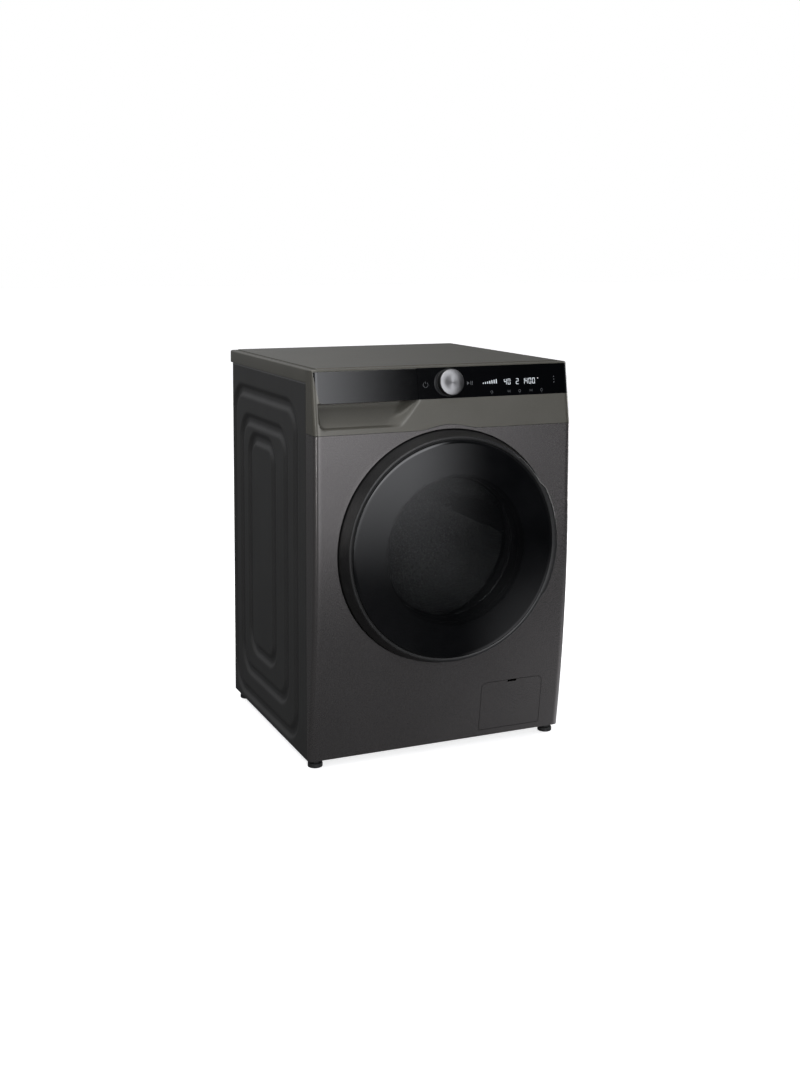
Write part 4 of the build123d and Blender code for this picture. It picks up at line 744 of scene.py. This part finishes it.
def drawer_outline(grow):
    """Outline of the drawer front on the console face."""
    low = up_slope(BAND_LOW_Z) - grow
    high = up_slope(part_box("console_fascia")[1].z) + 5 * MM
    right = DRAWER_SPLIT - 0.4 * MM + grow
    radius = 9 * MM
    left_low = DRAWER_LOW_LEFT - grow
    points = [(DRAWER_HIGH_LEFT - grow, high)]
    for k in range(9):
        a = math.radians(186 + (270 - 186) * k / 8)
        points.append((left_low + radius + radius * math.cos(a), low + radius + radius * math.sin(a)))
    return points + [(right, low), (right, high)]


def make_console(finishes):
    """Console shell with the finger recess, the seats of the black band and the drawer's opening."""
    high_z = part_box("console_fascia")[1].z
    line = plan_line(6 * MM, (-296 * MM, -45 * MM, 2.5 * MM))    # finer across the recess
    depth = SEAM_Y - FRONT_Y
    rows = 66
    top_v = up_slope(high_z)
    outer, inner = [], []
    for i in range(rows):
        for x, back in line:
            low_v = SEAM_HALF_GAP + seam_rise(x)
            v = low_v + (top_v - low_v) * i / (rows - 1)
            sunk = recess_depth(x, v) if back == 0 and v < up_slope(BAND_LOW_Z) + 1 * MM else 0.0
            spot = console_point(x, v, sunk)
            inside = console_point(x, v, sunk + WALL)
            face_y = FRONT_Y + v * math.sin(LEAN)
            side = math.copysign(1, x)
            if back > CORNER:
                spot.y = SEAM_Y + (face_y + CORNER - SEAM_Y) * (depth - back) / (depth - CORNER)
                inside = Vector((x - side * WALL, spot.y, spot.z))
            elif back > 0:
                spot.y = face_y + back
                centre = Vector((side * (SIDE_X - CORNER), face_y + CORNER, spot.z))
                inside = centre + (spot - centre) * (CORNER - WALL) / CORNER
            outer.append(spot)
            inner.append(inside)
    shell = make_object("console_shell", outer + inner, slab_faces(rows, len(line)))
    face_towards(shell, (0, -1, 0), rows - 1, len(line) - 1)

    def on_face(depth_in):
        return lambda x, v: console_point(x, v, depth_in)

    def cut_seat(outline):
        boolean_cut(shell, prism("cutter", outline, on_face(-CUT_REACH), on_face(GLASS_DEPTH)))

    cut_seat(drawer_outline(0.6 * MM))
    left, right = DRAWER_SPLIT + 0.1 * MM, SIDE_X + 50 * MM
    low, high = up_slope(BAND_LOW_Z) - 0.3 * MM, top_v + 5 * MM
    cut_seat([(left, low), (right, low), (right, high), (left, high)])
    tray_low, tray_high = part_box("drawer_tray")
    room = 2 * MM
    left, right = tray_low.x - room, tray_high.x + room
    low, high = tray_low.z - room, tray_high.z + room
    hole = [(left, low), (right, low), (right, high), (left, high)]
    boolean_cut(shell, prism("cutter", hole, lambda x, z: Vector((x, FRONT_Y - 20 * MM, z)),
                             lambda x, z: Vector((x, FRONT_Y + 50 * MM, z))))
    for polygon in shell.data.polygons:
        polygon.use_smooth = True
    sharpen(shell, 32)
    shell.data.materials.append(finishes["olive_plastic"])
    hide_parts("console_fascia")
    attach(shell, "cabinet")


def make_dial(finishes):
    """Spun knob: a flat face with a chamfer, a grooved side and a dark base ring."""
    low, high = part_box("dial_knob")
    x_mid = (low.x + high.x) / 2
    radius = (high.x - low.x) / 2
    v_mid = up_slope(DIAL_Z)
    length = 17 * MM
    outline = [(0.2 * MM, length - 0.25 * MM), (radius * 0.5, length - 0.15 * MM),
               (radius - 2.2 * MM, length),
               (radius - 1.2 * MM, length - 0.25 * MM), (radius - 0.3 * MM, length - 1.2 * MM),
               (radius, length - 2.2 * MM), (radius, 2.2 * MM), (radius - 0.6 * MM, 1.6 * MM),
               (radius - 0.6 * MM, 1.0 * MM), (0.2 * MM, 1.0 * MM)]

    def place(r, angle, along):
        return console_point(x_mid + r * math.cos(angle), v_mid + r * math.sin(angle), -along)

    knob = lathe("dial_cap", outline, 128, place)
    sharpen(knob, 30)
    knob.data.materials.append(finishes["aluminium_dial"])
    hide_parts("dial_knob")
    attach(knob, "dial")
    base = [(radius + 1.6 * MM, 0.2 * MM), (radius + 1.6 * MM, 0.7 * MM), (radius + 1.1 * MM, 1.0 * MM),
            (radius - 4 * MM, 1.0 * MM), (radius - 4 * MM, 0.2 * MM)]
    ring = lathe("dial_base_ring", base, 128, place)
    sharpen(ring, 30)
    ring.data.materials.append(finishes["matte_black"])
    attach(ring, "cabinet")


def make_drum_holes(finishes):
    """Drain holes of the drum, as small matte black cups in its wall and rear: painted shade for the dark
    seen through the holes.
    """
    low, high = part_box("drum")
    radius = (high.x - low.x) / 2 - 1.6 * MM
    hole, cup = 2.2 * MM, 1.5 * MM
    pitch = 15 * MM
    sides = 8
    vertices, faces = [], []

    def add_cup(centre, across, along, outward):
        first = len(vertices)
        for size, shift in ((hole, -0.15 * MM), (cup, 0.09 * MM)):
            for k in range(sides):
                a = 2 * math.pi * k / sides
                vertices.append(centre + across * size * math.cos(a) + along * size * math.sin(a)
                                + outward * shift)
        for k in range(sides):
            j = (k + 1) % sides
            faces.append((first + k, first + j, first + sides + j, first + sides + k))
        faces.append(tuple(range(first + sides, first + 2 * sides)))
        faces.append(tuple(range(first + sides - 1, first - 1, -1)))

    around = 80
    y0, y1 = low.y + 26 * MM, high.y - 14 * MM
    rows = int((y1 - y0) / pitch)
    for i in range(rows + 1):
        y = y0 + (y1 - y0) * i / rows
        for k in range(around):
            a = 2 * math.pi * (k + 0.5 * (i % 2)) / around
            outward = Vector((math.cos(a), 0, math.sin(a)))
            across = Vector((-math.sin(a), 0, math.cos(a)))
            add_cup(on_door_axis(radius, a, y), across, Vector((0, 1, 0)), outward)
    back = high.y - 1.6 * MM
    for ring in range(4, 15):
        count = 6 * ring
        for k in range(count):
            centre = on_door_axis(ring * pitch, 2 * math.pi * k / count, back)
            add_cup(centre, Vector((1, 0, 0)), Vector((0, 0, 1)), Vector((0, 1, 0)))
    # The cups are matte black: painted shade in place of the dark seen through real holes.
    hole_shade_discs = make_object("drum_holes", vertices, faces, smooth=False)
    hole_shade_discs.data.materials.append(finishes["matte_black"])
    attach(hole_shade_discs, "drum")


def make_door_seal(finishes):
    """Folded grey seal between the recess and the tub, with rounded folds."""
    low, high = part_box("door_gasket")
    r = MOUTH_RADIUS
    y0 = low.y + 6 * MM
    y1 = high.y - 8 * MM
    reach = (high.x - low.x) / 2
    outline = [(r - 9.5 * MM, y0 - 4 * MM), (r - 2 * MM, y0 - 6 * MM), (r + 6 * MM, y0 - 4 * MM),
               (r + 6 * MM, y0 - 0.4 * MM), (r - 1 * MM, y0 - 0.3 * MM), (r - 1 * MM, y0 + 14 * MM),
               (r + 13 * MM, y0 + 18 * MM), (r + 13 * MM, y0 + 33 * MM), (reach - 0.5 * MM, y0 + 36 * MM),
               (reach - 0.5 * MM, y1 + 8 * MM), (reach - 6 * MM, y1 + 8 * MM),
               (reach - 6 * MM, y1 - 2 * MM),
               (r + 9 * MM, y1 - 4 * MM), (r + 9 * MM, y0 + 22 * MM), (r - 4 * MM, y0 + 18 * MM),
               (r - 4 * MM, y0)]
    seal = lathe("door_seal", outline, 96, on_door_axis)
    soft = seal.modifiers.new("soft", "SUBSURF")
    soft.levels = soft.render_levels = 2
    apply_modifiers(seal)
    seal.data.materials.append(finishes["rubber_grey"])
    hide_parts("door_gasket")
    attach(seal, "cabinet")


# Lit bars of each figure: a is the top bar, then clockwise to f, and g is the middle bar.
SEGMENTS = {
    "0": "abcdef", "1": "bc", "2": "abged", "4": "fgbc",
}


def bar_outline(name, wide, tall, thick):
    """Left, low, right and high edges of one bar of a seven-bar figure."""
    half = tall / 2
    gap = thick * 0.35
    return {
        "a": (gap, tall - thick, wide - gap, tall),
        "b": (wide - thick, half + gap, wide, tall - gap),
        "c": (wide - thick, gap, wide, half - gap),
        "d": (gap, 0, wide - gap, thick),
        "e": (0, gap, thick, half - gap),
        "f": (0, half + gap, thick, tall - gap),
        "g": (gap, half - thick / 2, wide - gap, half + thick / 2),
    }[name]


class FaceMarks:
    """Thin raised marks on the console glass, gathered in one mesh."""

    def __init__(self):
        self.vertices = []
        self.faces = []

    def plate(self, outline, low=-0.02 * MM, high=-0.12 * MM):
        first = len(self.vertices)
        count = len(outline)
        self.vertices += [console_point(x, v, low) for x, v in outline]
        self.vertices += [console_point(x, v, high) for x, v in outline]
        self.faces.append(tuple(range(first, first + count)))
        self.faces.append(tuple(range(first + 2 * count - 1, first + count - 1, -1)))
        for i in range(count):
            j = (i + 1) % count
            self.faces.append((first + i, first + j, first + count + j, first + count + i))

    def bar(self, x0, v0, x1, v1):
        self.plate([(x0, v0), (x1, v0), (x1, v1), (x0, v1)])

    def figure(self, text, x, v, wide, tall, thick, pitch):
        for letter in text:
            for name in SEGMENTS[letter]:
                x0, v0, x1, v1 = bar_outline(name, wide, tall, thick)
                self.bar(x + x0, v + v0, x + x1, v + v1)
            x += pitch if letter != "1" else pitch * 0.8

    def ring(self, x, v, radius, thick, start=0, turn=360, steps=28):
        """Ring or arc, as a run of small plates."""
        for k in range(steps):
            a = math.radians(start + turn * k / steps)
            b = math.radians(start + turn * (k + 1) / steps)
            outer, inner = radius, radius - thick
            self.plate([(x + outer * math.cos(a), v + outer * math.sin(a)),
                        (x + outer * math.cos(b), v + outer * math.sin(b)),
                        (x + inner * math.cos(b), v + inner * math.sin(b)),
                        (x + inner * math.cos(a), v + inner * math.sin(a))])

    def finish(self, name, material):
        marks = make_object(name, self.vertices, self.faces, smooth=False)
        marks.data.materials.append(material)
        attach(marks, "cabinet")


def lamp_finish(name, colour, strength):
    """Lit marking with a slight unevenness."""
    material, tree, shader = node_tree(name)
    fine = add_noise(tree, 900, 2)
    tree.links.new(mix_colours(tree, map_range(tree, fine, 0, 1), tuple(c * 0.92 for c in colour), colour),
                   shader.inputs["Emission Color"])
    shader.inputs["Emission Strength"].default_value = strength
    shader.inputs["Base Color"].default_value = (*colour, 1)
    shader.inputs["Roughness"].default_value = 0.5
    return material


def make_markings():
    """Display figures and plain icons of the touch keys."""
    v_mid = up_slope(DIAL_Z)
    bright = FaceMarks()
    # Figures of the display: temperature, a count and the spin speed, then a dot.
    wide, tall, thick = 6.4 * MM, 12.5 * MM, 1.25 * MM
    base = v_mid - 9.5 * MM
    pitch = wide + 2.6 * MM
    bright.figure("40", 139 * MM, base, wide, tall, thick, pitch)
    bright.figure("2", 168 * MM, base, wide, tall, thick, pitch)
    bright.figure("1400", 183 * MM, base, wide, tall, thick, pitch)
    bright.ring(222 * MM, v_mid + 2 * MM, 1.2 * MM, 1.2 * MM, steps=10)
    # Level scale of the chosen programme: a row of bars that grow to the right.
    for k in range(7):
        x, height = (88 + 5.2 * k) * MM, (2.5 + 1.1 * k) * MM
        bright.bar(x, v_mid - 6 * MM, x + 2.2 * MM, v_mid - 6 * MM + height)
    bright.finish("display_figures", lamp_finish("display_light", (0.60, 0.64, 0.67), 0.45))

    faint = FaceMarks()
    line = 0.9 * MM
    key_v = v_mid - 3 * MM
    # Power key: an open ring with a bar on top.  Start and pause key: a triangle and two bars.
    faint.ring(-47 * MM, key_v, 6 * MM, line, start=125, turn=290)
    faint.bar(-47.5 * MM, key_v + 2 * MM, -46.5 * MM, key_v + 7 * MM)
    faint.plate([(50 * MM, key_v - 4 * MM), (56 * MM, key_v), (50 * MM, key_v + 4 * MM)])
    faint.bar(58.5 * MM, key_v - 4 * MM, 60 * MM, key_v + 4 * MM)
    faint.bar(62 * MM, key_v - 4 * MM, 63.5 * MM, key_v + 4 * MM)
    # A row of plain option icons, a drop and a block in turn, and three dots at the right.
    row_v = v_mid - 24 * MM
    for index, x in enumerate((108, 150, 176, 204, 230)):
        x = x * MM
        if index % 2 == 0:
            faint.ring(x, row_v, 3.0 * MM, line, steps=16)
            faint.bar(x - line / 2, row_v - 5.2 * MM, x + line / 2, row_v - 3.4 * MM)
        else:
            faint.bar(x - 3 * MM, row_v - 2.6 * MM, x - 2.1 * MM, row_v + 2.6 * MM)
            faint.bar(x + 2.1 * MM, row_v - 2.6 * MM, x + 3 * MM, row_v + 2.6 * MM)
            faint.bar(x - 3 * MM, row_v - 0.45 * MM, x + 3 * MM, row_v + 0.45 * MM)
    for k in range(3):
        faint.ring(262 * MM, v_mid + (-8 + 6 * k) * MM, 1.3 * MM, 1.3 * MM, steps=8)
    faint.finish("key_icons", lamp_finish("icon_print", (0.07, 0.075, 0.08), 0.05))


# ---------------------------------------------------------------- studio
def look_matrix(place, azimuth, elevation, roll):
    """Camera matrix that looks back along an azimuth and elevation, in degrees."""
    az, el, tilt = (math.radians(v) for v in (azimuth, elevation, roll))
    back = Vector((math.sin(az) * math.cos(el), -math.cos(az) * math.cos(el), math.sin(el)))
    right = (-back).cross(Vector((0, 0, 1))).normalized()
    up = right.cross(-back)
    turned_right = right * math.cos(tilt) + up * math.sin(tilt)
    turned_up = up * math.cos(tilt) - right * math.sin(tilt)
    axes = Matrix((turned_right, turned_up, back)).transposed()
    return Matrix.Translation(place) @ axes.to_4x4()


def make_camera():
    """Camera fitted to the edges of the machine in the photograph."""
    data = bpy.data.cameras.new("camera")
    camera = bpy.data.objects.new("camera", data)
    bpy.context.scene.collection.objects.link(camera)
    data.sensor_width = 36
    data.lens = 46.47
    data.shift_x, data.shift_y = -0.0074, -0.1474
    data.clip_start, data.clip_end = 0.05, 100
    camera.matrix_world = look_matrix(Vector((-1.2445, -2.8806, 1.1065)), -23.8465, 5.5295, 0.2246)
    bpy.context.scene.camera = camera


def make_floor():
    """Large pale floor that stays out of the reflections."""
    size = 30.0
    corners = [(-size, -size, 0), (size, -size, 0), (size, size, 0), (-size, size, 0)]
    floor = make_object("studio_floor", corners, [(0, 1, 2, 3)], smooth=False)
    material, tree, shader = node_tree("pale_floor")
    soft = add_noise(tree, 0.5, 2)
    tree.links.new(mix_colours(tree, map_range(tree, soft, 0, 1), (0.80, 0.80, 0.80), (0.82, 0.82, 0.82)),
                   shader.inputs["Base Color"])
    shader.inputs["Roughness"].default_value = 1.0
    shader.inputs["Specular IOR Level"].default_value = 0.0
    shader.inputs["Emission Color"].default_value = (1, 1, 1, 1)
    shader.inputs["Emission Strength"].default_value = 0.72
    floor.data.materials.append(material)
    floor.visible_glossy = False
    floor.visible_diffuse = False


def make_world():
    """White to the camera; a soft gradient, bright on the left and in front, lights the machine."""
    world = bpy.data.worlds.new("studio")
    bpy.context.scene.world = world
    world.use_nodes = True
    tree = world.node_tree
    tree.nodes.clear()
    out = tree.nodes.new("ShaderNodeOutputWorld")
    place = tree.nodes.new("ShaderNodeTexCoord")
    split = tree.nodes.new("ShaderNodeSeparateXYZ")
    tree.links.new(place.outputs["Generated"], split.inputs[0])

    def ramp(value, low, high, to_low, to_high):
        node = tree.nodes.new("ShaderNodeMapRange")
        node.interpolation_type = "SMOOTHSTEP"
        levels = {"From Min": low, "From Max": high, "To Min": to_low, "To Max": to_high}
        for socket, number in levels.items():
            node.inputs[socket].default_value = number
        tree.links.new(value, node.inputs["Value"])
        return node.outputs["Result"]

    def calculate(operation, *values):
        node = tree.nodes.new("ShaderNodeMath")
        node.operation = operation
        for socket, value in zip(node.inputs, values):
            if isinstance(value, float):
                socket.default_value = value
            else:
                tree.links.new(value, socket)
        return node.outputs[0]

    def times(a, b):
        return calculate("MULTIPLY", a, b)

    # Two soft panels in front of the machine: a strong one at eye height, which ends sharply
    # right of the middle, and below it a weaker one that fades out.
    x, y, z = (split.outputs[axis] for axis in "XYZ")
    before = times(ramp(y, -0.65, -0.35, 1.0, 0.0), ramp(x, -0.50, -0.15, 0.0, 1.0))
    high = times(ramp(z, 0.04, 0.13, 0.0, 4.4), ramp(z, 0.26, 0.50, 1.0, 0.12))
    high = times(high, ramp(x, 0.30, 0.41, 1.0, 0.0))
    low = times(ramp(z, -0.32, 0.0, 0.0, 2.0), ramp(z, 0.04, 0.13, 1.0, 0.0))
    low = times(low, ramp(x, 0.30, 0.52, 1.0, 0.0))
    panels = times(calculate("ADD", high, low), before)
    # Even light that grows upwards, taken back in front on the right and behind on the right.
    behind = times(ramp(y, 0.30, 0.75, 0.0, 0.6), ramp(x, 0.26, 0.48, 0.0, 1.0))
    in_front = times(ramp(x, 0.20, 0.50, 0.0, 1.0), ramp(y, -0.80, -0.30, 1.0, 0.0))
    share = calculate("MULTIPLY_ADD", in_front, -0.96, calculate("SUBTRACT", 1.0, behind))
    ambient = times(ramp(z, -0.35, 0.60, 0.06, 0.42), share)
    # Light from the floor on the right, which the lower front picks up where it curves under.
    from_floor = times(ramp(z, -0.50, -0.22, 0.85, 0.0), ramp(x, 0.42, 0.62, 0.0, 1.0))
    level = calculate("ADD", panels, calculate("ADD", ambient, from_floor))
    dim = tree.nodes.new("ShaderNodeBackground")
    dim.inputs["Color"].default_value = (0.975, 0.985, 1.02, 1)
    tree.links.new(level, dim.inputs["Strength"])
    white = tree.nodes.new("ShaderNodeBackground")
    white.inputs["Color"].default_value = (1, 1, 1, 1)
    white.inputs["Strength"].default_value = 1.0
    path = tree.nodes.new("ShaderNodeLightPath")
    mix = tree.nodes.new("ShaderNodeMixShader")
    tree.links.new(path.outputs["Is Camera Ray"], mix.inputs[0])
    tree.links.new(dim.outputs[0], mix.inputs[1])
    tree.links.new(white.outputs[0], mix.inputs[2])
    tree.links.new(mix.outputs[0], out.inputs["Surface"])


def area_light(name, place, target, width, height, power):
    """Rectangular light at a place, turned to a target."""
    data = bpy.data.lights.new(name, "AREA")
    data.shape = "RECTANGLE"
    data.size, data.size_y = width, height
    data.energy = power
    light = bpy.data.objects.new(name, data)
    bpy.context.scene.collection.objects.link(light)
    light.location = place
    light.rotation_mode = "QUATERNION"
    light.rotation_quaternion = (Vector(target) - Vector(place)).to_track_quat("-Z", "Y")
    return light


def make_studio():
    """Camera, floor, surroundings and four soft lights."""
    make_camera()
    make_floor()
    make_world()
    area_light("top_softbox", (-0.9, -0.1, 2.6), (-0.1, 0, 0.5), 1.8, 2.4, 30)
    area_light("left_strip", (-2.6, -1.7, 1.1), (0, 0, 0.5), 0.30, 2.0, 16)
    area_light("right_strip", (3.0, 0.4, 1.0), (0, 0, 0.5), 0.5, 2.2, 45)
    rear = area_light("rear_softbox", (1.2, 3.2, 2.2), (0, 0, 0.5), 2.4, 1.8, 30)
    rear.visible_glossy = False
    view = bpy.context.scene.view_settings
    view.view_transform = "Standard"
    view.look = "None"


# ---------------------------------------------------------------- assembly
finishes = make_finishes()
slot_of = {row["node"]: row["material_slot"] for row in frame["record"]["subparts"]}
for node, obj in NODES.items():
    for target in [obj] + list(obj.children_recursive):
        if target.type == "MESH":
            if not target.material_slots:
                target.data.materials.append(None)
            for material_slot in target.material_slots:
                material_slot.material = finishes[slot_of[node]]

make_door_ring(finishes)
make_door_cover(finishes)
make_side_panel(finishes, "side_panel_left", -1)
make_side_panel(finishes, "side_panel_right", 1)
make_worktop(finishes)
make_front_panel(finishes)
make_door_recess(finishes)
make_flap_ledge(finishes)
make_console(finishes)
make_dial(finishes)
make_drum_holes(finishes)
make_door_seal(finishes)
make_markings()
make_studio()
